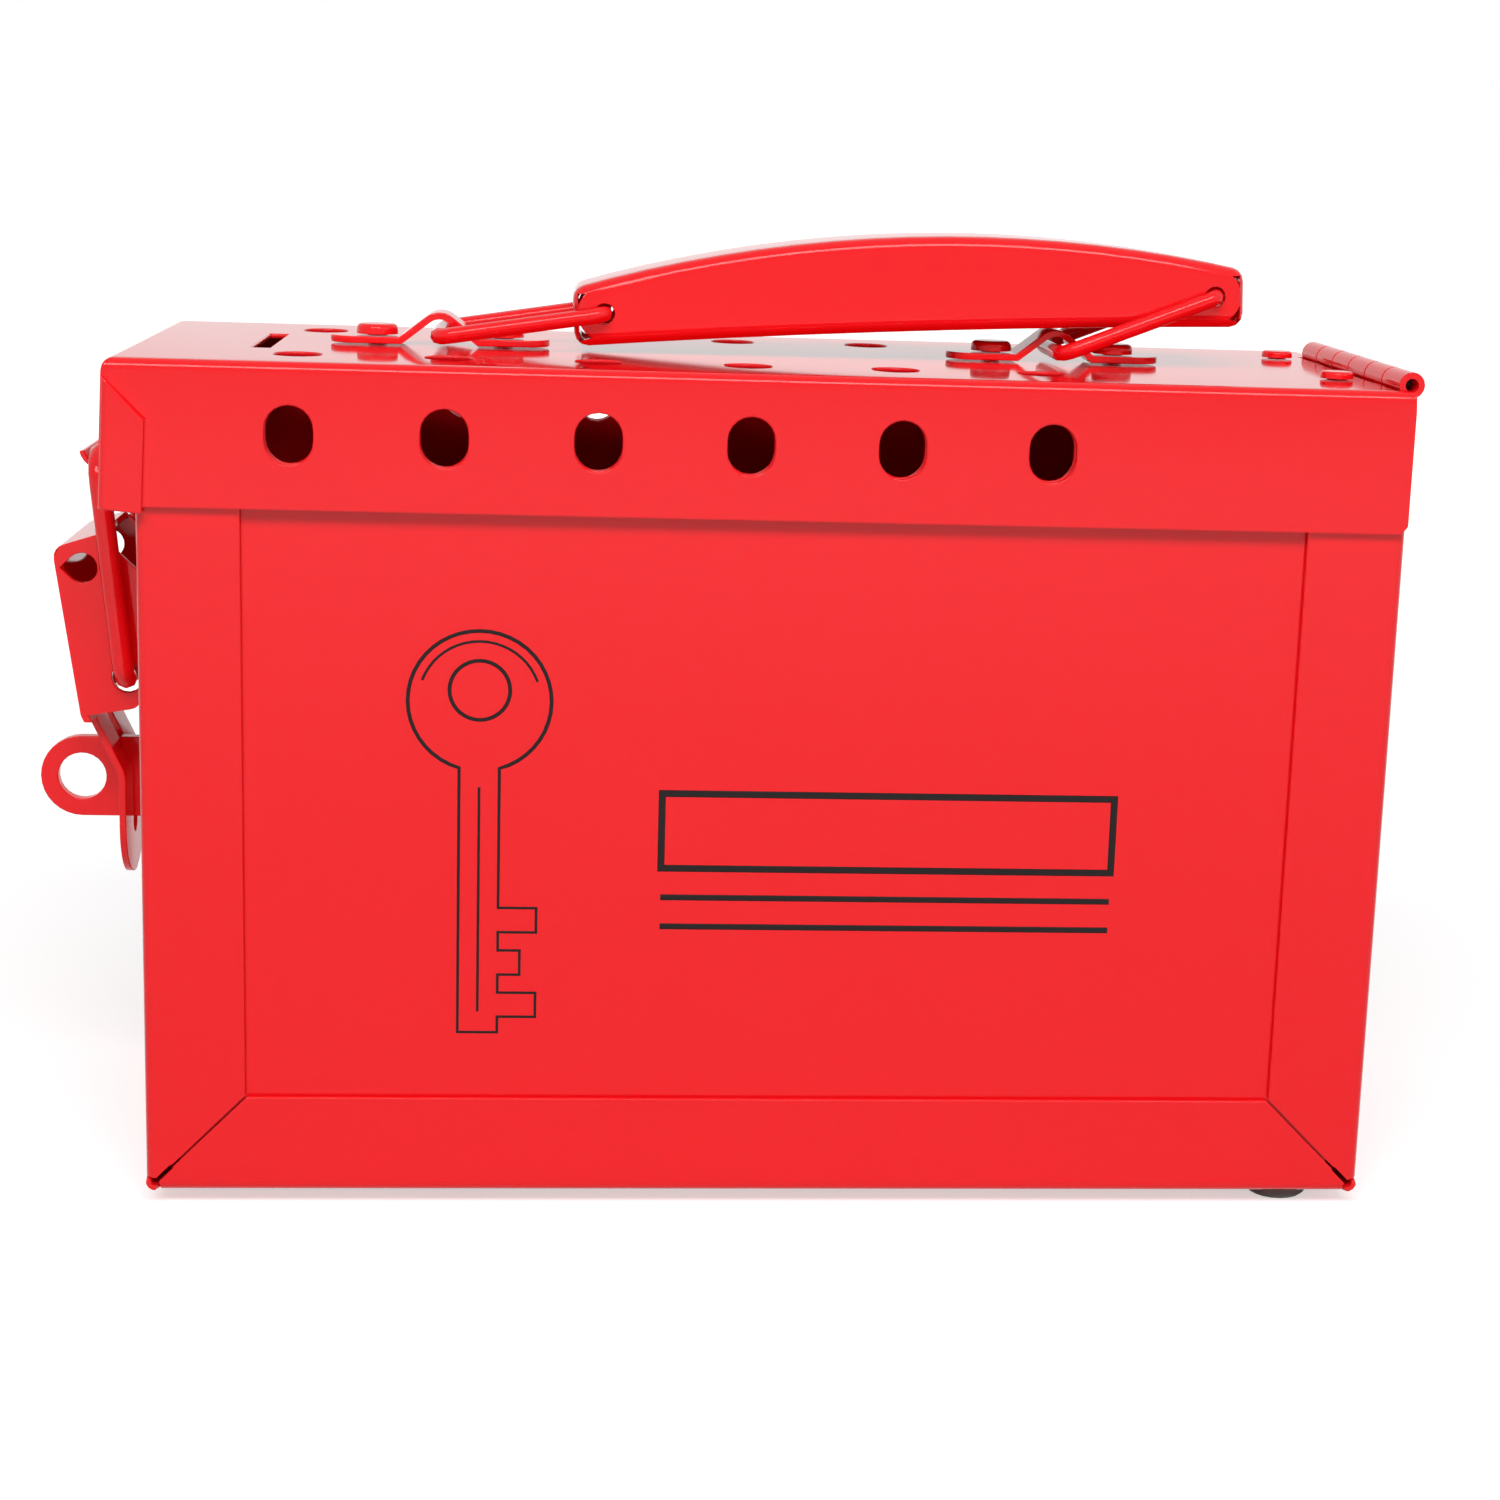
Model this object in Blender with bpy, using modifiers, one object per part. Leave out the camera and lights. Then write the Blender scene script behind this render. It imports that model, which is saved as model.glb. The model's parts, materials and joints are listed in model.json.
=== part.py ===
"""Group lockout box of folded sheet steel: case, hinged lid, drop handle and padlockable toggle latch.

Lengths are in metres and angles in degrees. In the sizes below x runs along the box from the
latch end to the hinge end, y from front to back, and z up from the underside of the case, with
x = 0 at the middle of the handle side of the lid. The empty "box_frame" carries that frame to the
origin of the whole part, which is the middle of its footprint at the level of the rubber feet.
"""
import math

import bmesh
import bpy
from mathutils import Matrix, Vector

# Driving sizes of the case and lid
LID_LENGTH = 0.2313
LID_DEPTH = 0.090
LID_RIGHT = 0.1156
LID_TOP = 0.1523
LID_FLANGE = 0.0257
SHEET = 0.0010
SEAT_GAP = 0.0003
CUT_OVERRUN = 0.004
CASE_SETBACK = 0.0049
CASE_PROUD = 0.0003
CASE_SIDE_GAP = 0.0004
CASE_TOP_GAP = 0.0016
CASE_FOLD_WIDTH = 0.0182
CASE_FOLD_RADIUS = 0.0018
MITRE_START = 0.0025
MITRE_RELIEF_GAP = 0.0006
MITRE_RELIEF_LENGTH = 0.0046
MITRE_GAP = 0.0003
PANEL_CORNER_CUT = 0.0090
LID_BEND_RADIUS = 0.0019
LID_LEFT_FLARE = 0.0011
ROUND_STEPS = 4

# Padlock holes, the same oblong in the side of the lid, in its top and in the case
HOLE_COUNT = 6
HOLE_PITCH = 0.02684
HOLE_WIDTH = 0.0084
HOLE_LENGTH = 0.0104
HOLE_FROM_LEFT = 0.0317
HOLE_BELOW_TOP = 0.0127
HOLE_FROM_EDGE = 0.0170
HOLE_STEPS = 10
KEY_SLOT_WIDTH = 0.0033
KEY_SLOT_LENGTH = 0.0330
KEY_SLOT_FROM_LEFT = 0.0238

# Corner tabs of the lid, folded round from its end flange
TAB_WIDTH = 0.0077
TAB_DROP = 0.0029
TAB_CHAMFER = 0.0078
TAB_BELOW = 0.0012
TAB_BITE = 0.0005
TAB_STEP = 0.0001
TAB_EDGE_RADIUS = 0.0012
TAB_EDGE_STEPS = 4
LID_CORNER_RADIUS = 0.0038
LID_CORNER_BITE = 0.0005

# Rivets: a domed head, a shank and a set tail
RIVET_HEAD_RADIUS = 0.00305
RIVET_HEAD_HEIGHT = 0.0013
RIVET_SHANK_RADIUS = 0.0014
RIVET_TAIL_RADIUS = 0.0021
RIVET_TAIL_HEIGHT = 0.0008
RIVET_EDGE = 0.0004
RIVET_STEPS = 14
CLIP_RIVET_HEAD_RADIUS = 0.00385
CLIP_RIVET_HEAD_HEIGHT = 0.0019

# Piano hinge on the right end
HINGE_AXIS_INSET = 0.0005
HINGE_AXIS_RISE = 0.0009
KNUCKLE_RADIUS = 0.0024
KNUCKLE_BORE_RADIUS = 0.0012
KNUCKLE_COUNT = 6
KNUCKLE_STEPS = 16
HINGE_PIN_RADIUS = 0.0009
HINGE_PIN_RECESS = 0.0040
HINGE_FROM_BACK = 0.0168
LEAF_THICKNESS = 0.0008
LID_LEAF_WIDTH = 0.0139
CASE_LEAF_WIDTH = 0.0128
LEAF_FINGER_WIDTH = 0.0068
KNUCKLE_CLEAR = 0.0005
LID_NOTCH_CLEAR = 0.0003
HINGE_RIVET_FROM_EDGE = 0.0092
HINGE_RIVET_FROM_SIDE = 0.0218
CASE_HINGE_RIVET_DROP = 0.0067
CASE_HINGE_HEAD_HEIGHT = 0.0010

# Drop handle: two strap clips, two wire links and the channel grip
HANDLE_OFFSET = -0.0018
CLIP_SPACING = 0.1166
PIVOT_RISE = 0.0024
CLIP_LENGTH = 0.0410
CLIP_WIDTH = 0.0092
CLIP_THICKNESS = 0.0013
CLIP_ARCH_RADIUS = 0.0027
CLIP_RAMP_ANGLE = 38.0
CLIP_RIVET_SPREAD = 0.0236
LINK_WIRE_RADIUS = 0.0015
LINK_REACH = 0.0311
LINK_WIDTH = 0.0252
LINK_BEND_RADIUS = 0.0030
LINK_LEFT_ANGLE = 9.3
LINK_RIGHT_ANGLE = 21.6
LINK_EYE_DEPTH = 0.0012
GRIP_WIDTH = 0.0215
GRIP_SHEET = 0.0010
GRIP_OVERHANG = 0.0058
GRIP_TOP_RISE = 0.0126
GRIP_END_RISE = 0.0048
GRIP_MIDDLE_DROP = 0.0050
GRIP_END_DROP = 0.0060
GRIP_END_RADIUS = 0.0026
GRIP_EAR_RADIUS = 0.0050
GRIP_EAR_ANGLE = 60.0
GRIP_ROLL_RADIUS = 0.0024
GRIP_ROLL_STEPS = 3
GRIP_SLOT_WIDTH = 0.0130
GRIP_HOLE_RADIUS = 0.0019
GRIP_ARC_STEPS = 18
FLAT_ANGLE = 0.1

# Toggle latch on the left end
HOOK_PROUD = 0.0043
HOOK_DROP = 0.0203
HOOK_WIDTH = 0.0260
HOOK_PLATE_RISE = 0.0163
HOOK_SHEET = 0.0010
HOOK_CURL_RADIUS = 0.0033
HOOK_CURL_ANGLE = 170.0
HOOK_CURL_STEPS = 12
HOOK_RIVET_RISE = 0.0113
HOOK_RIVET_SPREAD = 0.0160
BAIL_WIRE_RADIUS = 0.0020
BAIL_BESIDE_LEVER = 0.0033
BAIL_BEND_RADIUS = 0.0050
LEVER_PIVOT_PROUD = 0.0080
LEVER_PIVOT_DROP = 0.0285
BAIL_FOOT_IN = 0.0020
BAIL_FOOT_DROP = 0.0130
LEVER_SHEET = 0.0013
LEVER_WIDTH = 0.0320
TONGUE_WIDTH = 0.0220
TONGUE_END_RADIUS = 0.0109
CORNER_STEPS = 8
LEVER_BEND_RADIUS = 0.0024
EAR_HOLE_RADIUS = 0.0029
EAR_RELIEF_RADIUS = 0.0028
EAR_RELIEF_REACH = 0.0040
EAR_CORNER_RADIUS = 0.0034
STAPLE_SLOT_WIDTH = 0.0045
LATCH_PIN_RADIUS = 0.0015
BRACKET_SHEET = 0.0012
BRACKET_HEIGHT = 0.0160
BRACKET_EAR_RADIUS = 0.0042
BRACKET_RIVET_SPREAD = 0.0120

# Lever seen from the front, as (x, z) from its pivot: outer face from top edge to tongue, then the ears
LEVER_TOP = (-0.0027, 0.0138)
LEVER_SHOULDER = (-0.0113, 0.0110)
LEVER_KNEE = (-0.0067, -0.0205)
TONGUE_BEND = (-0.0008, -0.0330)
TONGUE_FOOT = -0.0542
EAR_FOOT = (0.0038, -0.0189)
EAR_BELLY = 0.0060
EAR_SIDE = 0.0052
EAR_TOP = 0.0062
EAR_EDGE_STEP = 0.0001
RELIEF_PLACE = (-0.0059, 0.0074)
SLOT_TOP = -0.0215
SLOT_FOOT = -0.0465

# Padlock staple, an eye plate standing through the slot of the lever's tongue
STAPLE_THICKNESS = 0.0025
STAPLE_REACH = 0.01725
STAPLE_DROP = 0.0355
STAPLE_RADIUS = 0.00784
STAPLE_HOLE_RADIUS = 0.00455
STAPLE_HOLE_STEPS = 24
STAPLE_FOOT_WIDTH = 0.0140
STAPLE_FOOT_SHEET = 0.0020
STAPLE_RIVET_OUT = 0.0075
STAPLE_RIVET_SPREAD = 0.0080

# Rubber feet
FOOT_RADIUS = 0.0060
FOOT_HEIGHT = 0.0030
FOOT_EDGE = 0.0008
FOOT_RECESS_RADIUS = 0.0036
FOOT_RECESS_DEPTH = 0.0014
FOOT_INSET = 0.0134
FOOT_FROM_SIDE_RIGHT = 0.0110
FOOT_FROM_SIDE_LEFT = 0.0230
FOOT_RIVET_HEAD_HEIGHT = 0.0010
FOOT_STEPS = 20

# Colours (linear) and finishes
RED_PAINT = (0.85, 0.030, 0.034, 1.0)
GREY_RUBBER = (0.10, 0.10, 0.10, 1.0)
ZINC = (0.62, 0.62, 0.60, 1.0)

# Places worked out from the sizes above
LID_LEFT = LID_RIGHT - LID_LENGTH
LID_FRONT = -LID_DEPTH / 2
LID_BOTTOM = LID_TOP - LID_FLANGE
CASE_LEFT = LID_LEFT + CASE_SETBACK
CASE_RIGHT = LID_RIGHT + CASE_PROUD
CASE_FRONT = LID_FRONT + SHEET + CASE_SIDE_GAP
CASE_TOP = LID_TOP - SHEET - CASE_TOP_GAP
PANEL_FRONT = CASE_FRONT + SHEET + SEAT_GAP
INNER_FRONT = PANEL_FRONT + SHEET
FIRST_HOLE = LID_LEFT + HOLE_FROM_LEFT
HOLE_Z = LID_TOP - HOLE_BELOW_TOP
HINGE_X = LID_RIGHT - HINGE_AXIS_INSET
HINGE_Z = LID_TOP + HINGE_AXIS_RISE
NOTCH_HALF = LID_DEPTH / 2 - LID_BEND_RADIUS
HINGE_FRONT = SEAT_GAP - NOTCH_HALF
HINGE_BACK = LID_DEPTH / 2 - HINGE_FROM_BACK
HINGE_SPAN = HINGE_BACK - HINGE_FRONT
HINGE_MIDDLE = (HINGE_FRONT + HINGE_BACK) / 2
KNUCKLE_PITCH = HINGE_SPAN / KNUCKLE_COUNT
HINGE_RIVET_SPREAD = LID_DEPTH - 2 * HINGE_RIVET_FROM_SIDE
LEAF_FRONT = INNER_FRONT + SEAT_GAP
LID_LEAF_TOP = LID_TOP - SHEET - SEAT_GAP
CASE_LEAF_OUTER = CASE_RIGHT - SHEET - SEAT_GAP
CASE_LEAF_TOP = LID_LEAF_TOP - LEAF_THICKNESS - SEAT_GAP
NOTCH_X = HINGE_X - KNUCKLE_RADIUS - LID_NOTCH_CLEAR
PIVOT_Z = LID_TOP + PIVOT_RISE
CLIP_LEFT_X = HANDLE_OFFSET - CLIP_SPACING / 2
CLIP_RIGHT_X = HANDLE_OFFSET + CLIP_SPACING / 2
HOOK_X = LID_LEFT - HOOK_PROUD - LID_LEFT_FLARE
HOOK_Z = LID_TOP - HOOK_DROP
LEVER_X = CASE_LEFT - LEVER_PIVOT_PROUD
LEVER_Z = HOOK_Z - LEVER_PIVOT_DROP
BAIL_WIDTH = LEVER_WIDTH + 2 * BAIL_BESIDE_LEVER
BAIL_FOOT = Vector((LEVER_X + BAIL_FOOT_IN, 0, LEVER_Z - BAIL_FOOT_DROP))
STAPLE_X = CASE_LEFT - STAPLE_REACH
STAPLE_Z = LEVER_Z - STAPLE_DROP
LEVER_CUT_DEPTH = 2 * (CUT_OVERRUN - LEVER_SHOULDER[0])
PART_LEFT = STAPLE_X - STAPLE_RADIUS
PART_RIGHT = HINGE_X + KNUCKLE_RADIUS


def start_collections():
    """Empty the scene and make the collections of the parts and of the cutters."""
    for old in list(bpy.data.objects):
        bpy.data.objects.remove(old, do_unlink=True)
    parts = bpy.data.collections.new("lockout_box")
    cutters = bpy.data.collections.new("cutters")
    for collection in (parts, cutters):
        bpy.context.scene.collection.children.link(collection)
    return parts, cutters


PARTS, CUTTERS = start_collections()


def paint(name, colour, roughness, metallic):
    """Principled material in one colour."""
    material = bpy.data.materials.new(name)
    material.use_nodes = True
    shader = material.node_tree.nodes["Principled BSDF"]
    shader.inputs["Base Color"].default_value = colour
    shader.inputs["Roughness"].default_value = roughness
    shader.inputs["Metallic"].default_value = metallic
    material.diffuse_color = colour
    return material


def add_empty(name, parent, location):
    """Empty that other objects hang on."""
    empty = bpy.data.objects.new(name, None)
    empty.empty_display_size = KNUCKLE_RADIUS
    PARTS.objects.link(empty)
    empty.parent = parent
    empty.location = location
    return empty


BOX_FRAME = add_empty("box_frame", None, (-(PART_LEFT + PART_RIGHT) / 2, 0, FOOT_HEIGHT))


class Axis:
    """Joint axis in the box frame, carried by an empty."""

    def __init__(self, name, x, z, parent=None):
        self.place = Vector((x, 0, z))
        carrier = parent.empty if parent else BOX_FRAME
        offset = parent.place if parent else Vector()
        self.empty = add_empty(name, carrier, self.place - offset)


def new_object(name, mesh):
    """Object around a mesh, kept with the cutters until it is seated as a part."""
    obj = bpy.data.objects.new(name, mesh)
    CUTTERS.objects.link(obj)
    obj.hide_render = True
    obj.display_type = "WIRE"
    obj.parent = BOX_FRAME
    return obj


def seat(obj, material, axis):
    """Make an object, modelled in the box frame, a part that rides on an axis."""
    CUTTERS.objects.unlink(obj)
    PARTS.objects.link(obj)
    obj.hide_render = False
    obj.display_type = "TEXTURED"
    obj.data.materials.clear()
    obj.data.materials.append(material)
    obj.parent = axis.empty
    obj.location = obj.location - axis.place
    return obj


def smooth(obj, angle=40.0):
    """Shade round stretches smooth and keep the folds crisp."""
    obj.data.shade_smooth()
    obj.data.set_sharp_from_angle(angle=math.radians(angle))
    return obj


def mesh_from(bm, name):
    """Finish a bmesh as mesh data."""
    mesh = bpy.data.meshes.new(name)
    bm.to_mesh(mesh)
    bm.free()
    return mesh


def block(name, low, high):
    """Box between two corners, made from the cube primitive."""
    low = Vector(low)
    high = Vector(high)
    bm = bmesh.new()
    bmesh.ops.create_cube(bm, size=1)
    bmesh.ops.scale(bm, vec=high - low, verts=bm.verts)
    obj = new_object(name, mesh_from(bm, name))
    obj.location = (low + high) / 2
    return obj


def rod(name, radius, length, centre, along, steps):
    """Cylinder of a length along x, y or z about its centre."""
    bm = bmesh.new()
    bmesh.ops.create_cone(bm, cap_ends=True, segments=steps, radius1=radius, radius2=radius, depth=length)
    turn = Vector((0, 0, 1)).rotation_difference(Vector(along)).to_matrix()
    bmesh.ops.rotate(bm, cent=(0, 0, 0), matrix=turn, verts=bm.verts)
    obj = new_object(name, mesh_from(bm, name))
    obj.location = centre
    return obj


def rounded(points, radii, steps=ROUND_STEPS, closed=True):
    """Replace each corner of a chain of points by an arc of its own radius."""
    points = [Vector(p) for p in points]
    result = []
    last = len(points) - 1
    for i, (corner, radius) in enumerate(zip(points, radii)):
        if radius == 0 or (not closed and i in (0, last)):
            result.append(corner)
            continue
        to_before = (points[i - 1] - corner).normalized()
        to_after = (points[(i + 1) % len(points)] - corner).normalized()
        half = to_before.angle(to_after) / 2
        reach = radius / math.tan(half)
        centre = corner + (to_before + to_after).normalized() * (radius / math.sin(half))
        start = corner + to_before * reach - centre
        end = corner + to_after * reach - centre
        sweep = start.angle(end)
        for k in range(steps + 1):
            share = k / steps
            arm = (start * math.sin((1 - share) * sweep) + end * math.sin(share * sweep)) / math.sin(sweep)
            result.append(centre + arm)
    return result


def arc(centre, radius, start, end, steps):
    """Points along an arc in a plane, angles in degrees."""
    turns = [math.radians(start + (end - start) * k / steps) for k in range(steps + 1)]
    return [Vector((centre[0] + radius * math.cos(t), centre[1] + radius * math.sin(t))) for t in turns]


def ring(centre, radius, steps):
    """Closed ring of points, turned so that none lies straight above or below its centre."""
    half_step = 180 / steps
    return arc(centre, radius, half_step / 2, 360 - 3 * half_step / 2, steps - 1)


def plate(name, outline, thickness, facing="y", holes=()):
    """Flat outline with thickness: an (x, z) outline facing y, or an (x, y) outline facing z."""
    curve = bpy.data.curves.new(name, "CURVE")
    curve.dimensions = "2D"
    curve.fill_mode = "BOTH"
    curve.extrude = thickness / 2
    for ring in (outline, *holes):
        spline = curve.splines.new("POLY")
        spline.points.add(len(ring) - 1)
        spline.use_cyclic_u = True
        for point, (u, v) in zip(spline.points, ring):
            point.co = (u, v, 0, 1)
    drawn = bpy.data.objects.new(name, curve)
    CUTTERS.objects.link(drawn)
    bpy.context.view_layer.update()
    mesh = bpy.data.meshes.new_from_object(drawn.evaluated_get(bpy.context.evaluated_depsgraph_get()))
    world = drawn.matrix_world.copy()
    bpy.data.objects.remove(drawn)
    bpy.data.curves.remove(curve)
    bm = bmesh.new()
    bm.from_mesh(mesh)
    bmesh.ops.remove_doubles(bm, verts=bm.verts, dist=SHEET / 1000)
    bmesh.ops.recalc_face_normals(bm, faces=bm.faces)
    if facing == "y":
        bmesh.ops.rotate(bm, cent=(0, 0, 0), matrix=Matrix.Rotation(math.pi / 2, 3, "X"), verts=bm.verts)
    bm.to_mesh(mesh)
    bm.free()
    mesh.name = name
    obj = new_object(name, mesh)
    obj.matrix_basis = world
    return obj


def strip(name, line, thickness, width):
    """Sheet with one face on an (x, z) line and its thickness to the line's right, seen from the front."""
    bm = bmesh.new()
    rows = [[bm.verts.new((p[0], y, p[1])) for p in line] for y in (-width / 2, width / 2)]
    for i in range(len(line) - 1):
        bm.faces.new((rows[0][i], rows[0][i + 1], rows[1][i + 1], rows[1][i]))
    obj = new_object(name, mesh_from(bm, name))
    wall = obj.modifiers.new("sheet", "SOLIDIFY")
    wall.thickness = thickness
    wall.offset = -1
    wall.use_even_offset = True
    return obj


def round_edges(bm, edges, radius, steps):
    """Bevel edges to a round section."""
    bmesh.ops.bevel(bm, geom=edges, offset=radius, segments=steps, affect="EDGES", profile=0.5)


def combine(target, operation, *tools):
    """Boolean modifiers that join tools to, or cut them from, an object."""
    for tool in tools:
        step = target.modifiers.new(operation.lower() + "_" + tool.name, "BOOLEAN")
        step.operation = operation
        step.solver = "EXACT"
        step.object = tool
    return target


def repeat(obj, count, step):
    """Array of separate copies at a constant step."""
    array = obj.modifiers.new("row", "ARRAY")
    array.count = count
    array.use_relative_offset = False
    array.use_constant_offset = True
    array.constant_offset_displace = step
    return obj


def turned(name, profile, steps):
    """Body turned about z from (radius, z) points that run down its outer side."""
    bm = bmesh.new()
    verts = [bm.verts.new((r, 0, z)) for r, z in profile]
    closed = profile[0][0] > 0
    for i in range(len(verts) - 1):
        bm.edges.new((verts[i], verts[i + 1]))
    if closed:
        bm.edges.new((verts[-1], verts[0]))
    obj = new_object(name, mesh_from(bm, name))
    screw = obj.modifiers.new("turn", "SCREW")
    screw.axis = "Z"
    screw.steps = steps
    screw.render_steps = steps
    screw.use_merge_vertices = True
    screw.merge_threshold = SHEET / 100
    return obj


def rivet(name, grip, head_radius=RIVET_HEAD_RADIUS, head_height=RIVET_HEAD_HEIGHT, facing=(0, 0, 1)):
    """Set rivet whose head stands a seat gap above z = 0, through sheets of a total grip."""
    half = grip + SEAT_GAP
    profile = [(0, SEAT_GAP + head_height)]
    profile += [(head_radius - 2 * RIVET_EDGE, SEAT_GAP + head_height)]
    profile += [(head_radius, SEAT_GAP + head_height - 2 * RIVET_EDGE)]
    profile += [(head_radius, SEAT_GAP)]
    profile += [(RIVET_SHANK_RADIUS, SEAT_GAP)]
    profile += [(RIVET_SHANK_RADIUS, -half)]
    profile += [(RIVET_TAIL_RADIUS, -half)]
    profile += [(RIVET_TAIL_RADIUS - RIVET_EDGE, -half - RIVET_TAIL_HEIGHT)]
    profile += [(0, -half - RIVET_TAIL_HEIGHT)]
    obj = turned(name, profile, RIVET_STEPS)
    obj.rotation_mode = "QUATERNION"
    obj.rotation_quaternion = Vector((0, 0, 1)).rotation_difference(Vector(facing))
    return obj


def set_rivets(places, axis, material, grip, **shape):
    """One rivet for each name and place of its head's seat."""
    for name, place in places.items():
        obj = rivet(name, grip, **shape)
        obj.location = place
        smooth(seat(obj, material, axis))


def rivet_hole(name, centre, along, count=1, step=(0, 0, 0), length=SHEET + 2 * CUT_OVERRUN):
    """Cutter for one rivet shank, or a row of them."""
    hole = rod(name, RIVET_SHANK_RADIUS + SEAT_GAP, length, centre, along, RIVET_STEPS)
    return repeat(hole, count, step) if count > 1 else hole


def wire(name, path, radius):
    """Bent wire along a chain of points."""
    curve = bpy.data.curves.new(name, "CURVE")
    curve.dimensions = "3D"
    curve.bevel_depth = radius
    curve.bevel_resolution = 2
    curve.use_fill_caps = True
    spline = curve.splines.new("POLY")
    spline.points.add(len(path) - 1)
    for point, place in zip(spline.points, path):
        point.co = (*place, 1)
    obj = bpy.data.objects.new(name, curve)
    CUTTERS.objects.link(obj)
    return obj


def oblong(width, length):
    """Outline of a hole with round ends, its long way along the second coordinate."""
    radius = width / 2
    reach = length / 2 - radius
    return arc((0, reach), radius, 0, 180, HOLE_STEPS) + arc((0, -reach), radius, 180, 360, HOLE_STEPS)


PAINT = paint("red_powder_coat", RED_PAINT, 0.30, 0.0)
RUBBER = paint("grey_rubber", GREY_RUBBER, 0.80, 0.0)
STEEL = paint("zinc_plated_steel", ZINC, 0.35, 1.0)

CASE = Axis("case_frame", 0, 0)
LID = Axis("lid_hinge_axis", HINGE_X, HINGE_Z)
LEVER = Axis("latch_lever_axis", LEVER_X, LEVER_Z)
BAIL = Axis("bail_axis", HOOK_X, HOOK_Z, LID)
LINK_LEFT = Axis("link_left_axis", CLIP_LEFT_X, PIVOT_Z, LID)
LINK_RIGHT = Axis("link_right_axis", CLIP_RIGHT_X, PIVOT_Z, LID)


def link_end(x, angle):
    """Place of a link's far end when the link stands at an angle above the lid."""
    turn = math.radians(angle)
    return Vector((x + LINK_REACH * math.cos(turn), 0, PIVOT_Z + LINK_REACH * math.sin(turn)))


GRIP_LEFT_HOLE = link_end(CLIP_LEFT_X, LINK_LEFT_ANGLE)
GRIP_RIGHT_HOLE = link_end(CLIP_RIGHT_X, LINK_RIGHT_ANGLE)
GRIP_HOLE_SPACING = (GRIP_RIGHT_HOLE - GRIP_LEFT_HOLE).length
GRIP_TILT = math.atan2(GRIP_RIGHT_HOLE.z - GRIP_LEFT_HOLE.z, GRIP_RIGHT_HOLE.x - GRIP_LEFT_HOLE.x)
GRIP = Axis("grip_axis", GRIP_LEFT_HOLE.x, GRIP_LEFT_HOLE.z, LINK_LEFT)


def side_hole_cutter():
    """Six oblong bores that run through the lid's flanges and the case's panels."""
    depth = LID_DEPTH + 2 * CUT_OVERRUN
    cutter = plate("side_holes", oblong(HOLE_WIDTH, HOLE_LENGTH), depth)
    cutter.location = (FIRST_HOLE, 0, HOLE_Z)
    return repeat(cutter, HOLE_COUNT, (HOLE_PITCH, 0, 0))


def top_hole_cutter():
    """Two rows of six oblong holes in the lid's top."""
    rows = LID_DEPTH - 2 * HOLE_FROM_EDGE
    cutter = plate("top_holes", oblong(HOLE_WIDTH, HOLE_LENGTH), CUT_OVERRUN, "z")
    cutter.location = (FIRST_HOLE, -rows / 2, LID_TOP)
    repeat(cutter, HOLE_COUNT, (HOLE_PITCH, 0, 0))
    return repeat(cutter, 2, (0, rows, 0))


SIDE_HOLES = side_hole_cutter()


def mitre_line():
    """Cut edge of a flange at a lower corner, as distances in from the fold and up from the corner."""
    start, relief, length = MITRE_START, MITRE_RELIEF_GAP, MITRE_RELIEF_LENGTH
    first = start - relief
    return [(first, start), (length, length + relief), (length, length + MITRE_GAP),
            (CASE_FOLD_WIDTH, CASE_FOLD_WIDTH + MITRE_GAP)]


def make_body_wrap():
    """One sheet folded into the two ends and the bottom, with flanges mitred on the front and back."""
    bm = bmesh.new()
    left, right, top = CASE_LEFT, CASE_RIGHT, CASE_TOP
    wide, start = CASE_FOLD_WIDTH, MITRE_START
    low = {}
    for side in (1, -1):
        y = side * CASE_FRONT
        low[side] = {
            "corner_left": bm.verts.new((left, y, 0)),
            "corner_right": bm.verts.new((right, y, 0)),
            "rise_left": bm.verts.new((left, y, start)),
            "rise_right": bm.verts.new((right, y, start)),
            "run_left": bm.verts.new((left + start, y, 0)),
            "run_right": bm.verts.new((right - start, y, 0)),
            "top_left": bm.verts.new((left, y, top)),
            "top_right": bm.verts.new((right, y, top)),
        }
        edge = low[side]
        along = mitre_line()
        for end, x, inward in (("left", left, 1), ("right", right, -1)):
            cut = [bm.verts.new((x + inward * u, y, v)) for u, v in along]
            inner_top = bm.verts.new((x + inward * wide, y, top))
            bm.faces.new((edge["rise_" + end], *cut, inner_top, edge["top_" + end]))
        from_left = [bm.verts.new((left + v, y, u)) for u, v in along]
        from_right = [bm.verts.new((right - v, y, u)) for u, v in along]
        bm.faces.new((edge["run_left"], edge["run_right"], *from_right, *reversed(from_left)))
    front, back = low[1], low[-1]
    for end in ("left", "right"):
        names = ["corner_" + end, "rise_" + end, "top_" + end]
        bm.faces.new([front[n] for n in names] + [back[n] for n in reversed(names)])
    names = ["corner_left", "run_left", "run_right", "corner_right"]
    bm.faces.new([front[n] for n in names] + [back[n] for n in reversed(names)])
    bmesh.ops.recalc_face_normals(bm, faces=bm.faces)
    bottom = min(bm.faces, key=lambda f: f.calc_center_median().z)
    if bottom.normal.z > 0:
        bmesh.ops.reverse_faces(bm, faces=bm.faces)
    folds = [e for e in bm.edges if len(e.link_faces) == 2]
    round_edges(bm, folds, CASE_FOLD_RADIUS, ROUND_STEPS)
    wrap = new_object("body_wrap", mesh_from(bm, "body_wrap"))
    wall = wrap.modifiers.new("sheet", "SOLIDIFY")
    wall.thickness = SHEET
    wall.offset = -1
    wall.use_even_offset = True
    cuts = [case_hinge_rivet_holes("wrap"), bracket_rivet_holes("wrap"), staple_rivet_holes("wrap")]
    combine(wrap, "DIFFERENCE", *cuts, *foot_rivet_holes())
    return smooth(seat(wrap, PAINT, CASE))


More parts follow.
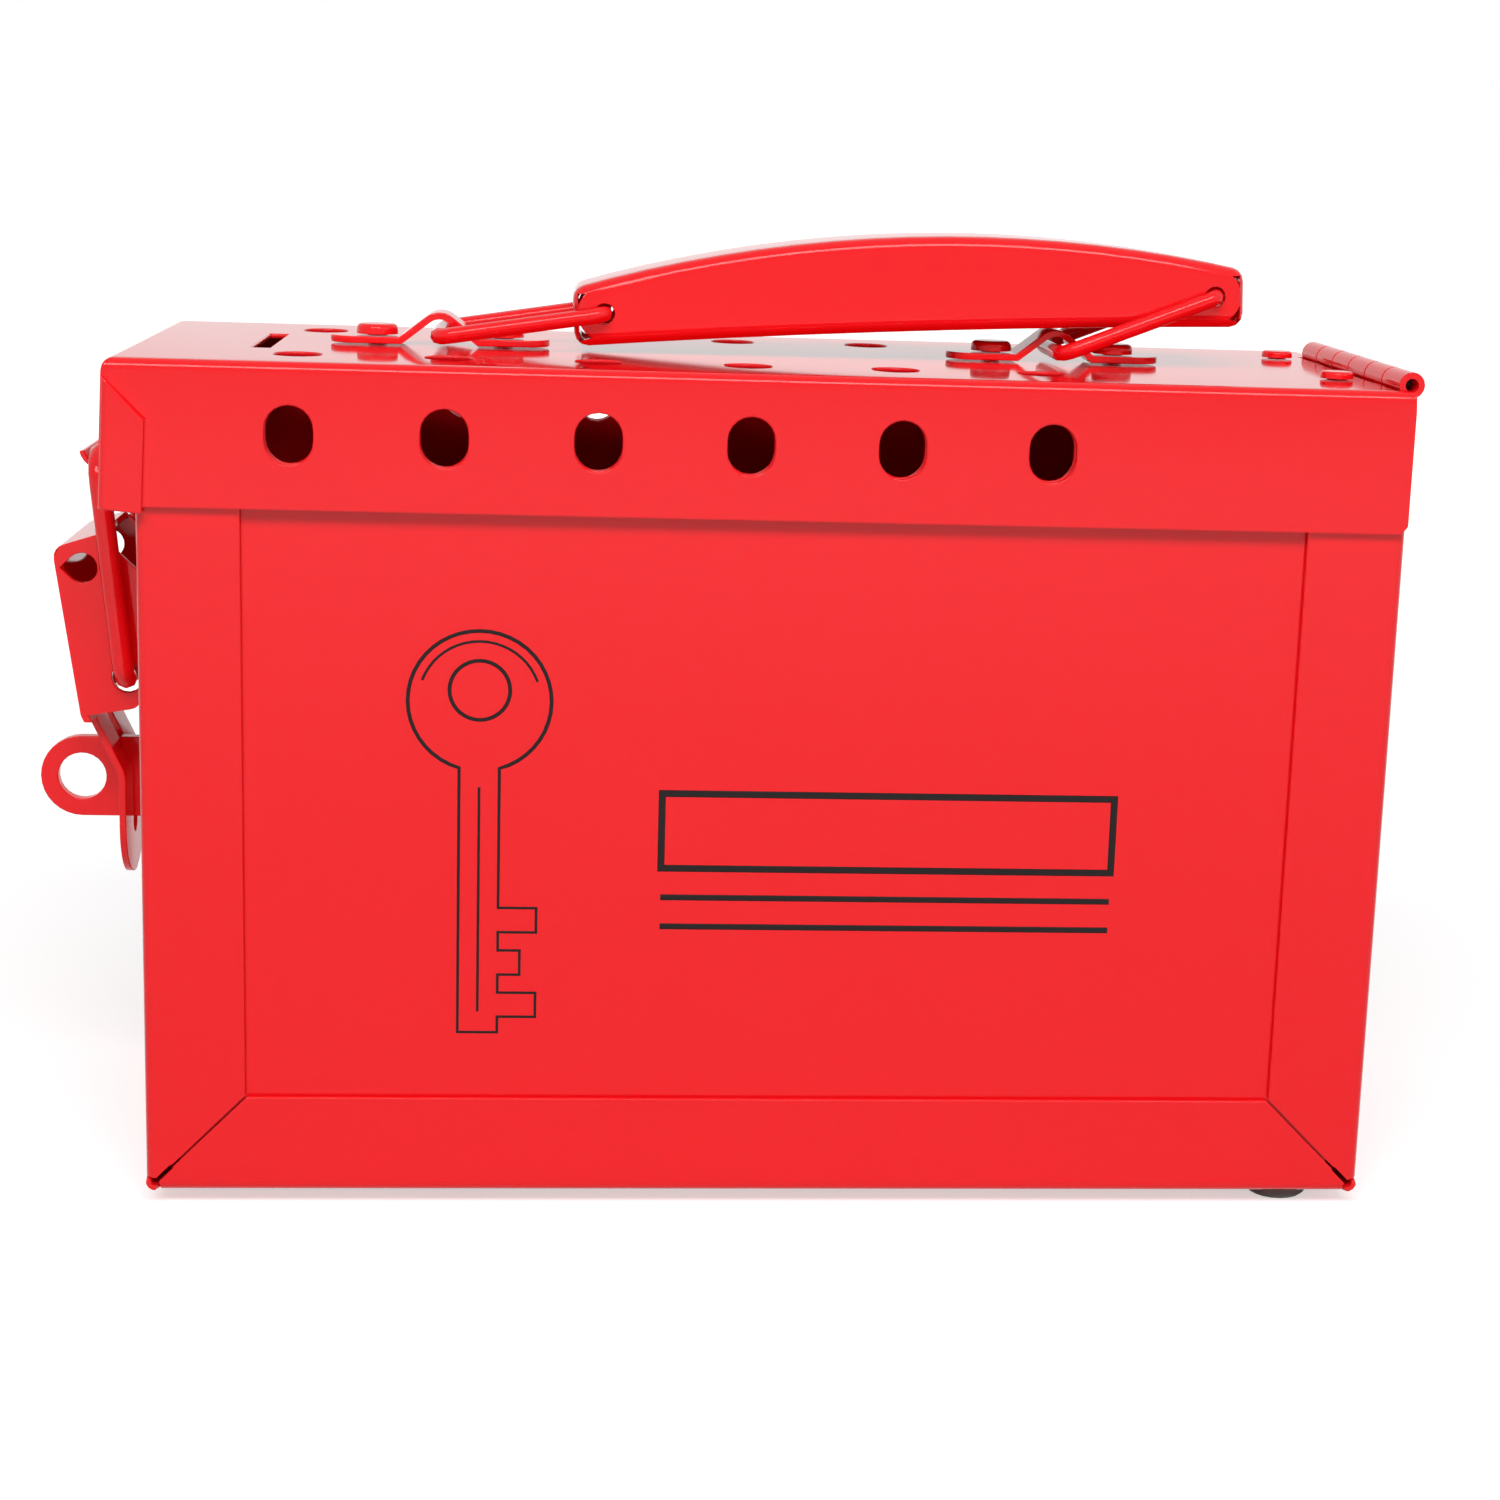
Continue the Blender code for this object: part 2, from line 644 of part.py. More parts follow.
def make_panel(name, side):
    """Flat front or back panel behind the folded flanges, with the six padlock holes."""
    inset = SHEET + SEAT_GAP
    left, right, low = CASE_LEFT + inset, CASE_RIGHT - inset, inset
    cut = PANEL_CORNER_CUT
    outline = [(left + cut, low), (right - cut, low), (right, low + cut), (right, CASE_TOP),
               (left, CASE_TOP), (left, low + cut)]
    panel = plate(name, outline, SHEET)
    panel.location.y = side * -(PANEL_FRONT + SHEET / 2)
    combine(panel, "DIFFERENCE", SIDE_HOLES)
    return smooth(seat(panel, PAINT, CASE))


def lean(bm, reach):
    """Let all within reach of the lid's left end stand out a little towards the lower edge."""
    for vert in bm.verts:
        if vert.co.x < LID_LEFT + reach:
            vert.co.x -= LID_LEFT_FLARE * (LID_TOP - vert.co.z) / LID_FLANGE


def make_lid_tab(side):
    """Corner tab folded round from the left flange onto the front or back flange."""
    high = LID_TOP - TAB_DROP
    tab_end = LID_LEFT + TAB_WIDTH
    tab_left = LID_LEFT + TAB_STEP
    outline = [(tab_left, LID_BOTTOM - TAB_BITE), (tab_end, LID_BOTTOM - TAB_BELOW),
               (tab_end, high - TAB_CHAMFER), (tab_left, high)]
    tab = plate("lid_tab_front" if side < 0 else "lid_tab_back", outline, SHEET + TAB_BITE)
    bm = bmesh.new()
    bm.from_mesh(tab.data)
    outward = side * (SHEET + TAB_BITE) / 2
    outer = {v for v in bm.verts if abs(v.co.x - tab_left) < TAB_STEP and v.co.y * side > 0}
    round_edges(bm, [e for e in bm.edges if outer.issuperset(e.verts)], TAB_EDGE_RADIUS, TAB_EDGE_STEPS)
    lean(bm, 2 * TAB_WIDTH)
    bm.to_mesh(tab.data)
    bm.free()
    tab.location.y = side * (LID_DEPTH / 2 - TAB_BITE) + outward
    return tab


def make_lid_shell():
    """Tray of one sheet: top, front, back and left flanges, open at the hinge end."""
    bm = bmesh.new()
    bmesh.ops.create_cube(bm, size=1)
    bmesh.ops.scale(bm, vec=(LID_LENGTH, LID_DEPTH, LID_FLANGE), verts=bm.verts)
    centre = Vector(((LID_LEFT + LID_RIGHT) / 2, 0, (LID_TOP + LID_BOTTOM) / 2))
    bmesh.ops.translate(bm, vec=centre, verts=bm.verts)
    open_sides = [f for f in bm.faces if f.normal.z < -0.5 or f.normal.x > 0.5]
    bmesh.ops.delete(bm, geom=open_sides, context="FACES")
    bends = [e for e in bm.edges if len(e.link_faces) == 2 and all(v.co.z > LID_TOP - SHEET for v in e.verts)]
    round_edges(bm, bends, LID_BEND_RADIUS, ROUND_STEPS)
    lean(bm, 2 * SHEET)
    shell = new_object("lid_shell", mesh_from(bm, "lid_shell"))
    wall = shell.modifiers.new("sheet", "SOLIDIFY")
    wall.thickness = SHEET
    wall.offset = -1
    wall.use_even_offset = True
    combine(shell, "UNION", make_lid_tab(-1), make_lid_tab(1))
    reach = LID_DEPTH / 2 + SHEET + CUT_OVERRUN
    hinge_notch = block("hinge_notch", (NOTCH_X, -NOTCH_HALF, LID_TOP - LID_BEND_RADIUS),
                        (CASE_RIGHT + CUT_OVERRUN, HINGE_BACK + SEAT_GAP, LID_TOP + CUT_OVERRUN))
    inward = LID_CORNER_RADIUS - LID_CORNER_BITE
    centre = (LID_RIGHT - inward, LID_BOTTOM + inward)
    corner = arc(centre, LID_CORNER_RADIUS, -90, 0, CORNER_STEPS)
    beyond, below = corner[-1][0] + CUT_OVERRUN, corner[0][1] - CUT_OVERRUN
    corner = [*corner, (beyond, corner[-1][1]), (beyond, below), (corner[0][0], below)]
    corner_cut = plate("lid_corner_cut", corner, 2 * reach)
    key_x = LID_LEFT + KEY_SLOT_FROM_LEFT
    key_slot = block("key_slot", (key_x - KEY_SLOT_WIDTH / 2, -KEY_SLOT_LENGTH / 2, LID_TOP - CUT_OVERRUN),
                     (key_x + KEY_SLOT_WIDTH / 2, KEY_SLOT_LENGTH / 2, LID_TOP + CUT_OVERRUN))
    combine(shell, "DIFFERENCE", hinge_notch, corner_cut, key_slot, SIDE_HOLES, top_hole_cutter(),
            lid_hinge_rivet_holes("lid"), clip_rivet_holes("lid"), hook_rivet_holes("lid"))
    return smooth(seat(shell, PAINT, LID))


def knuckles(name, first):
    """Every second knuckle of the hinge, starting at the first or second place."""
    length = KNUCKLE_PITCH - KNUCKLE_CLEAR
    y = HINGE_FRONT + KNUCKLE_PITCH * (first + 0.5)
    tubes = rod(name, KNUCKLE_RADIUS, length, (HINGE_X, y, HINGE_Z), (0, 1, 0), KNUCKLE_STEPS)
    return repeat(tubes, KNUCKLE_COUNT // 2, (0, 2 * KNUCKLE_PITCH, 0))


def fingers(name, low, high, first):
    """Narrow tongues that carry a leaf's sheet to its knuckles."""
    y = HINGE_FRONT + KNUCKLE_PITCH * (first + 0.5)
    half = LEAF_FINGER_WIDTH / 2
    tongue = block(name, (low[0], y - half, low[1]), (high[0], y + half, high[1]))
    return repeat(tongue, KNUCKLE_COUNT // 2, (0, 2 * KNUCKLE_PITCH, 0))


def hinge_bore():
    """Cutter of the pin's bore, through all knuckles."""
    length = LID_DEPTH + 2 * CUT_OVERRUN
    return rod("hinge_bore", KNUCKLE_BORE_RADIUS, length, (HINGE_X, 0, HINGE_Z), (0, 1, 0), KNUCKLE_STEPS)


HINGE_BORE = hinge_bore()


def lid_hinge_rivet_holes(owner):
    """Holes of the two rivets that hold the lid's leaf."""
    centre = (LID_RIGHT - HINGE_RIVET_FROM_EDGE, -HINGE_RIVET_SPREAD / 2, LID_TOP - SHEET)
    return rivet_hole("lid_hinge_holes_" + owner, centre, (0, 0, 1), 2, (0, HINGE_RIVET_SPREAD, 0))


def case_hinge_rivet_holes(owner):
    """Holes of the two rivets that hold the case's leaf."""
    centre = (CASE_RIGHT - SHEET, -HINGE_RIVET_SPREAD / 2, CASE_TOP - CASE_HINGE_RIVET_DROP)
    return rivet_hole("case_hinge_holes_" + owner, centre, (1, 0, 0), 2, (0, HINGE_RIVET_SPREAD, 0))


def make_lid_leaf():
    """Leaf under the lid's top, with its three knuckles."""
    low_z = LID_LEAF_TOP - LEAF_THICKNESS
    right = NOTCH_X
    leaf = block("hinge_leaf_lid", (right - LID_LEAF_WIDTH, LEAF_FRONT, low_z),
                 (right, HINGE_BACK, LID_LEAF_TOP))
    tongues = fingers("lid_leaf_fingers", (right - SHEET, low_z), (HINGE_X, LID_LEAF_TOP), 1)
    combine(leaf, "UNION", tongues, knuckles("lid_knuckles", 1))
    combine(leaf, "DIFFERENCE", HINGE_BORE, lid_hinge_rivet_holes("leaf"))
    return smooth(seat(leaf, PAINT, LID))


def make_case_leaf():
    """Leaf inside the right end wall, with its three knuckles."""
    left = CASE_LEAF_OUTER - LEAF_THICKNESS
    low_z = CASE_LEAF_TOP - CASE_LEAF_WIDTH
    leaf = block("hinge_leaf_body", (left, LEAF_FRONT, low_z),
                 (CASE_LEAF_OUTER, HINGE_BACK, CASE_LEAF_TOP))
    reach = HINGE_Z - KNUCKLE_BORE_RADIUS
    tongues = fingers("case_leaf_fingers", (left, CASE_LEAF_TOP - SHEET), (CASE_LEAF_OUTER, reach), 0)
    combine(leaf, "UNION", tongues, knuckles("case_knuckles", 0))
    combine(leaf, "DIFFERENCE", HINGE_BORE, case_hinge_rivet_holes("leaf"))
    return smooth(seat(leaf, PAINT, CASE))


def make_hinge_pin():
    """Plain steel pin, a little shorter than the knuckles."""
    length = HINGE_SPAN - 2 * HINGE_PIN_RECESS
    centre = (HINGE_X, HINGE_MIDDLE, HINGE_Z)
    pin = rod("hinge_pin", HINGE_PIN_RADIUS, length, centre, (0, 1, 0), KNUCKLE_STEPS)
    return smooth(seat(pin, STEEL, CASE))


def make_hinge_rivets():
    """Two rivets through the lid's top and leaf, two through the end wall and its leaf."""
    grip = SHEET + SEAT_GAP + LEAF_THICKNESS
    lid_x = LID_RIGHT - HINGE_RIVET_FROM_EDGE
    case_z = CASE_TOP - CASE_HINGE_RIVET_DROP
    out = HINGE_RIVET_SPREAD / 2
    set_rivets({"hinge_rivet_lid_front": (lid_x, -out, LID_TOP),
                "hinge_rivet_lid_back": (lid_x, out, LID_TOP)}, LID, PAINT, grip)
    set_rivets({"hinge_rivet_case_front": (CASE_RIGHT, -out, case_z),
                "hinge_rivet_case_back": (CASE_RIGHT, out, case_z)},
               CASE, PAINT, grip, head_height=CASE_HINGE_HEAD_HEIGHT, facing=(1, 0, 0))


def clip_rivet_holes(owner):
    """Holes of the rivets of both handle clips."""
    centre = (CLIP_LEFT_X - CLIP_RIVET_SPREAD / 2, 0, LID_TOP)
    holes = rivet_hole("clip_holes_" + owner, centre, (0, 0, 1), 2, (CLIP_RIVET_SPREAD, 0, 0))
    return repeat(holes, 2, (CLIP_SPACING, 0, 0))


def clip_line():
    """Upper face of a clip seen from the front: foot, ramp, arch over the pivot, ramp, foot."""
    outer = CLIP_ARCH_RADIUS + CLIP_THICKNESS
    foot_z = SEAT_GAP + CLIP_THICKNESS - PIVOT_RISE
    slope = math.radians(CLIP_RAMP_ANGLE)
    ramp_top = (outer * math.sin(slope), outer * math.cos(slope))
    ramp_foot = ramp_top[0] + (ramp_top[1] - foot_z) / math.tan(slope)
    end = CLIP_LENGTH / 2
    arch = arc((0, 0), outer, 90 + CLIP_RAMP_ANGLE, 90 - CLIP_RAMP_ANGLE, CORNER_STEPS)
    left = [Vector((-end, foot_z)), Vector((-ramp_foot, foot_z))]
    right = [Vector((ramp_foot, foot_z)), Vector((end, foot_z))]
    return left + arch + right


def make_handle_clip(name, x):
    """Strap arched over the link's crossbar, with a rivet in each round-ended foot."""
    clip = strip(name, clip_line(), CLIP_THICKNESS, CLIP_WIDTH)
    clip.location = (x, 0, PIVOT_Z)
    radius = CLIP_WIDTH / 2
    reach = CLIP_LENGTH / 2 - radius
    ends = arc((reach, 0), radius, -90, 90, HOLE_STEPS) + arc((-reach, 0), radius, 90, 270, HOLE_STEPS)
    outline = plate(name + "_outline", ends, 2 * (CLIP_ARCH_RADIUS + CLIP_THICKNESS + PIVOT_RISE), "z")
    outline.location = (x, 0, PIVOT_Z)
    combine(clip, "INTERSECT", outline)
    combine(clip, "DIFFERENCE", clip_rivet_holes(name))
    return smooth(seat(clip, PAINT, LID))


def make_clip_rivets():
    """Four rivets, two in each clip."""
    top = SEAT_GAP + CLIP_THICKNESS
    places = {}
    for clip, x in (("left", CLIP_LEFT_X), ("right", CLIP_RIGHT_X)):
        for side, out in (("outer", -1), ("inner", 1)):
            out = out if clip == "left" else -out
            places[f"clip_rivet_{clip}_{side}"] = (x + out * CLIP_RIVET_SPREAD / 2, 0, LID_TOP + top)
    set_rivets(places, LID, PAINT, top + SHEET,
               head_radius=CLIP_RIVET_HEAD_RADIUS, head_height=CLIP_RIVET_HEAD_HEIGHT)


def make_link(name, axis, angle, eye_y, bend):
    """Wire link: a crossbar under the clip, two arms, and ends turned in towards the grip."""
    arm_y = LINK_WIDTH / 2
    corners = [(LINK_REACH, -eye_y, 0), (LINK_REACH, -arm_y, 0), (0, -arm_y, 0),
               (0, arm_y, 0), (LINK_REACH, arm_y, 0), (LINK_REACH, eye_y, 0)]
    radii = [0, bend, LINK_BEND_RADIUS, LINK_BEND_RADIUS, bend, 0]
    link = wire(name, rounded(corners, radii, closed=False), LINK_WIRE_RADIUS)
    link.location = axis.place
    link.rotation_euler = (0, -math.radians(angle), 0)
    return seat(link, PAINT, axis)


def make_links():
    """The left link's ends pass through the grip; the right link's ends face its holes."""
    inside = GRIP_WIDTH / 2 - GRIP_SHEET - LINK_EYE_DEPTH
    beside = GRIP_WIDTH / 2 + SEAT_GAP
    straight = (LINK_WIDTH - GRIP_WIDTH) / 2
    make_link("handle_link_left", LINK_LEFT, LINK_LEFT_ANGLE, inside, straight)
    make_link("handle_link_right", LINK_RIGHT, LINK_RIGHT_ANGLE, beside, LINK_WIDTH / 2 - beside)


def bow(half, middle, end, steps):
    """Arc from -half to half that passes the middle height and ends at the end height."""
    sag = middle - end
    radius = (half ** 2 + sag ** 2) / (2 * abs(sag))
    sweep = math.degrees(math.asin(half / radius))
    sign = 1 if sag > 0 else -1
    centre = middle - sign * radius
    points = arc((0, 0), radius, 90 + sweep, 90 - sweep, steps)
    return [Vector((p[0], centre + sign * p[1])) for p in points]


def grip_outline(inset):
    """Side view of the grip, or of its hollow, about the middle between its holes."""
    half = GRIP_HOLE_SPACING / 2 + GRIP_OVERHANG - inset
    top = bow(half, GRIP_TOP_RISE - inset, GRIP_END_RISE - inset, GRIP_ARC_STEPS)
    bottom = bow(half, inset - GRIP_MIDDLE_DROP, inset - GRIP_END_DROP, GRIP_ARC_STEPS // 2)
    points = top + bottom[::-1]
    radii = [0] * len(points)
    for i in (0, len(top) - 1, len(top), len(points) - 1):
        radii[i] = GRIP_END_RADIUS - inset
    return rounded(points, radii, GRIP_ROLL_STEPS)


def is_rim_edge(edge):
    """Whether an edge of the bar runs round one of its two flat sides."""
    a, b = edge.verts
    on_side = abs(a.co.y - b.co.y) < SEAT_GAP / 2
    flat, curved = sorted((abs(f.normal.y) for f in edge.link_faces), reverse=True)
    return on_side and flat > 0.5 > curved


def set_on_grip(obj):
    """Move a piece drawn about the middle between the grip's holes to its place on the grip."""
    half = GRIP_HOLE_SPACING / 2
    turn = Matrix.Rotation(-GRIP_TILT, 4, "Y")
    middle = GRIP_LEFT_HOLE + Vector((half * math.cos(GRIP_TILT), 0, half * math.sin(GRIP_TILT)))
    obj.matrix_basis = Matrix.Translation(middle) @ turn @ obj.matrix_basis
    return obj


def grip_bar(name, inset):
    """Solid bar with the grip's side view, the edges round its flat sides rolled."""
    bar = plate(name, grip_outline(inset), GRIP_WIDTH - 2 * inset)
    bm = bmesh.new()
    bm.from_mesh(bar.data)
    bmesh.ops.dissolve_limit(bm, angle_limit=math.radians(FLAT_ANGLE), verts=bm.verts, edges=bm.edges)
    round_edges(bm, [e for e in bm.edges if is_rim_edge(e)], GRIP_ROLL_RADIUS - inset, GRIP_ROLL_STEPS)
    bmesh.ops.recalc_face_normals(bm, faces=bm.faces)
    bm.to_mesh(bar.data)
    bm.free()
    return set_on_grip(bar)


def ear_cutter(end, side, level):
    """Cutter of the gap above or below the round ear about a hole, as far as the strap at the grip's end."""
    sign = 1 if end == "right" else -1
    hole = GRIP_HOLE_SPACING / 2
    reach = GRIP_OVERHANG - GRIP_SHEET
    start = math.degrees(math.acos(reach / GRIP_EAR_RADIUS))
    if level == "upper":
        corner = (hole + reach, GRIP_END_RISE - GRIP_SHEET)
        stop = math.degrees(math.asin(corner[1] / GRIP_EAR_RADIUS))
    else:
        corner = (hole + reach, GRIP_SHEET - GRIP_END_DROP)
        start, stop = -start, -GRIP_EAR_ANGLE
    nose = arc((hole, 0), GRIP_EAR_RADIUS, start, stop, HOLE_STEPS // 2)
    depth = GRIP_ROLL_RADIUS + SEAT_GAP + CUT_OVERRUN
    outline = [(sign * p[0], p[1]) for p in [*nose, corner]]
    cutter = plate(f"grip_ear_{end}_{side}_{level}", outline, depth)
    cutter.location.y = (1 if side == "back" else -1) * (GRIP_WIDTH / 2 + CUT_OVERRUN - depth / 2)
    return set_on_grip(cutter)


def make_grip():
    """Grip of sheet, arched along its back and open below, with an end strap behind each pair of ears."""
    grip = grip_bar("handle_grip", 0)
    hollow = grip_bar("grip_hollow", GRIP_SHEET)
    reach = GRIP_HOLE_SPACING / 2 + GRIP_OVERHANG - GRIP_SHEET - SEAT_GAP
    half = GRIP_SLOT_WIDTH / 2
    slot = set_on_grip(block("grip_slot", (-reach, -half, -GRIP_END_DROP - CUT_OVERRUN), (reach, half, 0)))
    through = GRIP_WIDTH + CUT_OVERRUN
    holes = [rod("grip_hole_left", GRIP_HOLE_RADIUS, through, GRIP_LEFT_HOLE, (0, 1, 0), KNUCKLE_STEPS),
             rod("grip_hole_right", GRIP_HOLE_RADIUS, through, GRIP_RIGHT_HOLE, (0, 1, 0), KNUCKLE_STEPS)]
    ears = [ear_cutter(end, side, level) for end in ("left", "right") for side in ("front", "back")
            for level in ("upper", "lower")]
    combine(grip, "DIFFERENCE", *ears, hollow, slot, *holes)
    return smooth(seat(grip, PAINT, GRIP))


def hook_rivet_holes(owner):
    """Holes of the two rivets of the lid's catch."""
    centre = (LID_LEFT, -HOOK_RIVET_SPREAD / 2, HOOK_Z + HOOK_RIVET_RISE)
    return rivet_hole("hook_holes_" + owner, centre, (1, 0, 0), 2, (0, HOOK_RIVET_SPREAD, 0))


def make_lid_catch():
    """Strip riveted to the lid's end flange, its lower edge curled up into a hook for the bail."""
    rise = HOOK_CURL_RADIUS - BAIL_WIRE_RADIUS - SEAT_GAP
    curl = arc((0, rise), HOOK_CURL_RADIUS, -HOOK_CURL_ANGLE, 0, HOOK_CURL_STEPS)
    catch = strip("lid_catch", [*curl, Vector((HOOK_CURL_RADIUS, HOOK_PLATE_RISE))], HOOK_SHEET, HOOK_WIDTH)
    catch.location = (HOOK_X, 0, HOOK_Z)
    combine(catch, "DIFFERENCE", hook_rivet_holes("catch"))
    return smooth(seat(catch, PAINT, LID))


def make_catch_rivets():
    """Two rivets through the catch and the lid's flange."""
    face = HOOK_X + HOOK_CURL_RADIUS
    inner_wall = LID_LEFT + SHEET
    z = HOOK_Z + HOOK_RIVET_RISE
    out = HOOK_RIVET_SPREAD / 2
    set_rivets({"catch_rivet_front": (face, -out, z), "catch_rivet_back": (face, out, z)},
               LID, PAINT, inner_wall - face, facing=(-1, 0, 0))


def make_bail():
    """Wire bail whose crossbar lies in the catch and whose ends turn in towards the lever's ears."""
    foot = BAIL_FOOT - BAIL.place
    arm_y = BAIL_WIDTH / 2
    eye_y = LEVER_WIDTH / 2 + SEAT_GAP
    corners = [(foot.x, -eye_y, foot.z), (foot.x, -arm_y, foot.z), (0, -arm_y, 0),
               (0, arm_y, 0), (foot.x, arm_y, foot.z), (foot.x, eye_y, foot.z)]
    turn_in = arm_y - eye_y
    radii = [0, turn_in, BAIL_BEND_RADIUS, BAIL_BEND_RADIUS, turn_in, 0]
    bail = wire("bail_wire", rounded(corners, radii, closed=False), BAIL_WIRE_RADIUS)
    bail.location = BAIL.place
    return seat(bail, PAINT, BAIL)


def lever_line():
    """Outer face of the bent lever plate, from the top edge down to the end of the tongue."""
    foot = (TONGUE_BEND[0], TONGUE_FOOT)
    corners = [LEVER_TOP, LEVER_SHOULDER, LEVER_KNEE, TONGUE_BEND, foot]
    return rounded(corners, [0, LEVER_BEND_RADIUS, LEVER_BEND_RADIUS, 2 * LEVER_BEND_RADIUS, 0], closed=False)


def lever_ear(side):
    """Side ear of the lever, with its pivot hole and the bail's hole."""
    bite = LEVER_SHEET / 2
    top = (LEVER_TOP[0] + bite, LEVER_TOP[1] - bite)
    shoulder = (LEVER_SHOULDER[0] + bite, LEVER_SHOULDER[1] - bite)
    knee = (LEVER_KNEE[0] + bite, LEVER_KNEE[1])
    outline = [top, shoulder, knee, EAR_FOOT, (EAR_BELLY, -BAIL_FOOT_DROP), (EAR_SIDE, EAR_TOP)]
    shape = rounded(outline, [0, 0, 0, BAIL_FOOT_IN, EAR_CORNER_RADIUS, EAR_CORNER_RADIUS])
    pin_hole = ring((0, 0), LATCH_PIN_RADIUS + SEAT_GAP, RIVET_STEPS)
    bail_hole = ring((BAIL_FOOT_IN, -BAIL_FOOT_DROP), EAR_HOLE_RADIUS, KNUCKLE_STEPS)
    name = "lever_ear_front" if side < 0 else "lever_ear_back"
    ear = plate(name, shape, LEVER_SHEET, holes=(pin_hole, bail_hole))
    ear.location = LEVER.place + Vector((0, side * (LEVER_WIDTH - LEVER_SHEET) / 2, 0))
    return ear


def ear_relief(side):
    """Cutter of the drop-shaped hole that eases the bends where an ear meets the plate's shoulder."""
    name = "ear_relief_front" if side < 0 else "ear_relief_back"
    depth = LEVER_SHEET + CUT_OVERRUN
    y = side * (LEVER_WIDTH / 2 - LEVER_SHEET + depth / 2)
    turn = 180 - math.degrees(math.acos(EAR_RELIEF_RADIUS / EAR_RELIEF_REACH))
    drop = arc((0, 0), EAR_RELIEF_RADIUS, -turn, turn, FOOT_STEPS)
    cutter = plate(name, [*drop, Vector((-EAR_RELIEF_REACH, 0))], depth)
    cutter.location = LEVER.place + Vector((RELIEF_PLACE[0], y, RELIEF_PLACE[1]))
    return cutter


def tongue_trim(side):
    """Cutter that narrows the plate below the ears to the tongue and rounds its end."""
    half = TONGUE_WIDTH / 2
    wide = LEVER_WIDTH / 2 + CUT_OVERRUN
    top = LEVER_KNEE[1] - LEVER_SHEET
    low = TONGUE_FOOT - CUT_OVERRUN
    centre = (half - TONGUE_END_RADIUS, TONGUE_FOOT + TONGUE_END_RADIUS)
    corner = arc(centre, TONGUE_END_RADIUS, 0, -90, CORNER_STEPS)
    outline = [(wide, top), (half, top), *corner, (0, low), (wide, low)]
    name = "tongue_trim_back" if side > 0 else "tongue_trim_front"
    return facing_end(plate(name, [(side * p[0], p[1]) for p in outline], LEVER_CUT_DEPTH))


def facing_end(cutter):
    """Turn an upright cutter at the lever so that it runs along x."""
    cutter.rotation_euler = (0, 0, math.pi / 2)
    cutter.location = LEVER.place
    return cutter


def make_lever():
    """Lever pressed from one sheet: bent plate, two ears and the slotted tongue."""
    width = LEVER_WIDTH - 2 * EAR_EDGE_STEP
    lever = strip("latch_lever", lever_line()[::-1], LEVER_SHEET, width)
    lever.location = LEVER.place
    combine(lever, "UNION", lever_ear(-1), lever_ear(1))
    middle = (SLOT_TOP + SLOT_FOOT) / 2
    slot = [(x, z + middle) for x, z in oblong(STAPLE_SLOT_WIDTH, SLOT_TOP - SLOT_FOOT)]
    staple_slot = facing_end(plate("staple_slot", slot, LEVER_CUT_DEPTH))
    cuts = [tongue_trim(-1), tongue_trim(1), ear_relief(-1), ear_relief(1)]
    combine(lever, "DIFFERENCE", *cuts, staple_slot)
    return smooth(seat(lever, PAINT, LEVER))


def bracket_rivet_holes(owner):
    """Holes of the two rivets of the latch bracket."""
    centre = (CASE_LEFT, -BRACKET_RIVET_SPREAD / 2, LEVER_Z)
    return rivet_hole("bracket_holes_" + owner, centre, (1, 0, 0), 2, (0, BRACKET_RIVET_SPREAD, 0))


def make_latch_bracket():
    """Plate on the case's end wall with two ears that carry the lever's pin."""
    width = LEVER_WIDTH - 2 * (LEVER_SHEET + SEAT_GAP)
    wall = CASE_LEFT - SEAT_GAP - LEVER_X
    nose = arc((0, 0), BRACKET_EAR_RADIUS, 90, 270, HOLE_STEPS)
    outline = [*nose, (wall, -BRACKET_HEIGHT / 2), (wall, BRACKET_HEIGHT / 2)]
    pin_hole = ring((0, 0), LATCH_PIN_RADIUS + SEAT_GAP, RIVET_STEPS)
    bracket = plate("latch_bracket", outline, width, holes=(pin_hole,))
    bracket.location = LEVER.place
    inside = width / 2 - BRACKET_SHEET
    floor = LEVER_X + wall - BRACKET_SHEET
    hollow = block("bracket_hollow", (LEVER_X - BRACKET_HEIGHT, -inside, LEVER_Z - BRACKET_HEIGHT),
                   (floor, inside, LEVER_Z + BRACKET_HEIGHT))
    combine(bracket, "DIFFERENCE", hollow, bracket_rivet_holes("bracket"))
    return smooth(seat(bracket, PAINT, CASE))


def make_latch_pin():
    """Pin through the ears of the bracket and of the lever, flush with the lever's ears."""
    pin = rod("latch_pin", LATCH_PIN_RADIUS, LEVER_WIDTH, LEVER.place, (0, 1, 0), RIVET_STEPS)
    return smooth(seat(pin, STEEL, CASE))


def make_bracket_rivets():
    """Two rivets through the bracket and the end wall."""
    face = CASE_LEFT - SEAT_GAP - BRACKET_SHEET
    out = BRACKET_RIVET_SPREAD / 2
    set_rivets({"bracket_rivet_front": (face, -out, LEVER_Z), "bracket_rivet_back": (face, out, LEVER_Z)},
               CASE, PAINT, BRACKET_SHEET + SEAT_GAP + SHEET, facing=(-1, 0, 0))


def staple_rivet_holes(owner):
    """Holes of the two rivets of the staple's foot."""
    centre = (CASE_LEFT, STAPLE_RIVET_OUT, STAPLE_Z - STAPLE_RIVET_SPREAD / 2)
    return rivet_hole("staple_holes_" + owner, centre, (1, 0, 0), 2, (0, 0, STAPLE_RIVET_SPREAD))


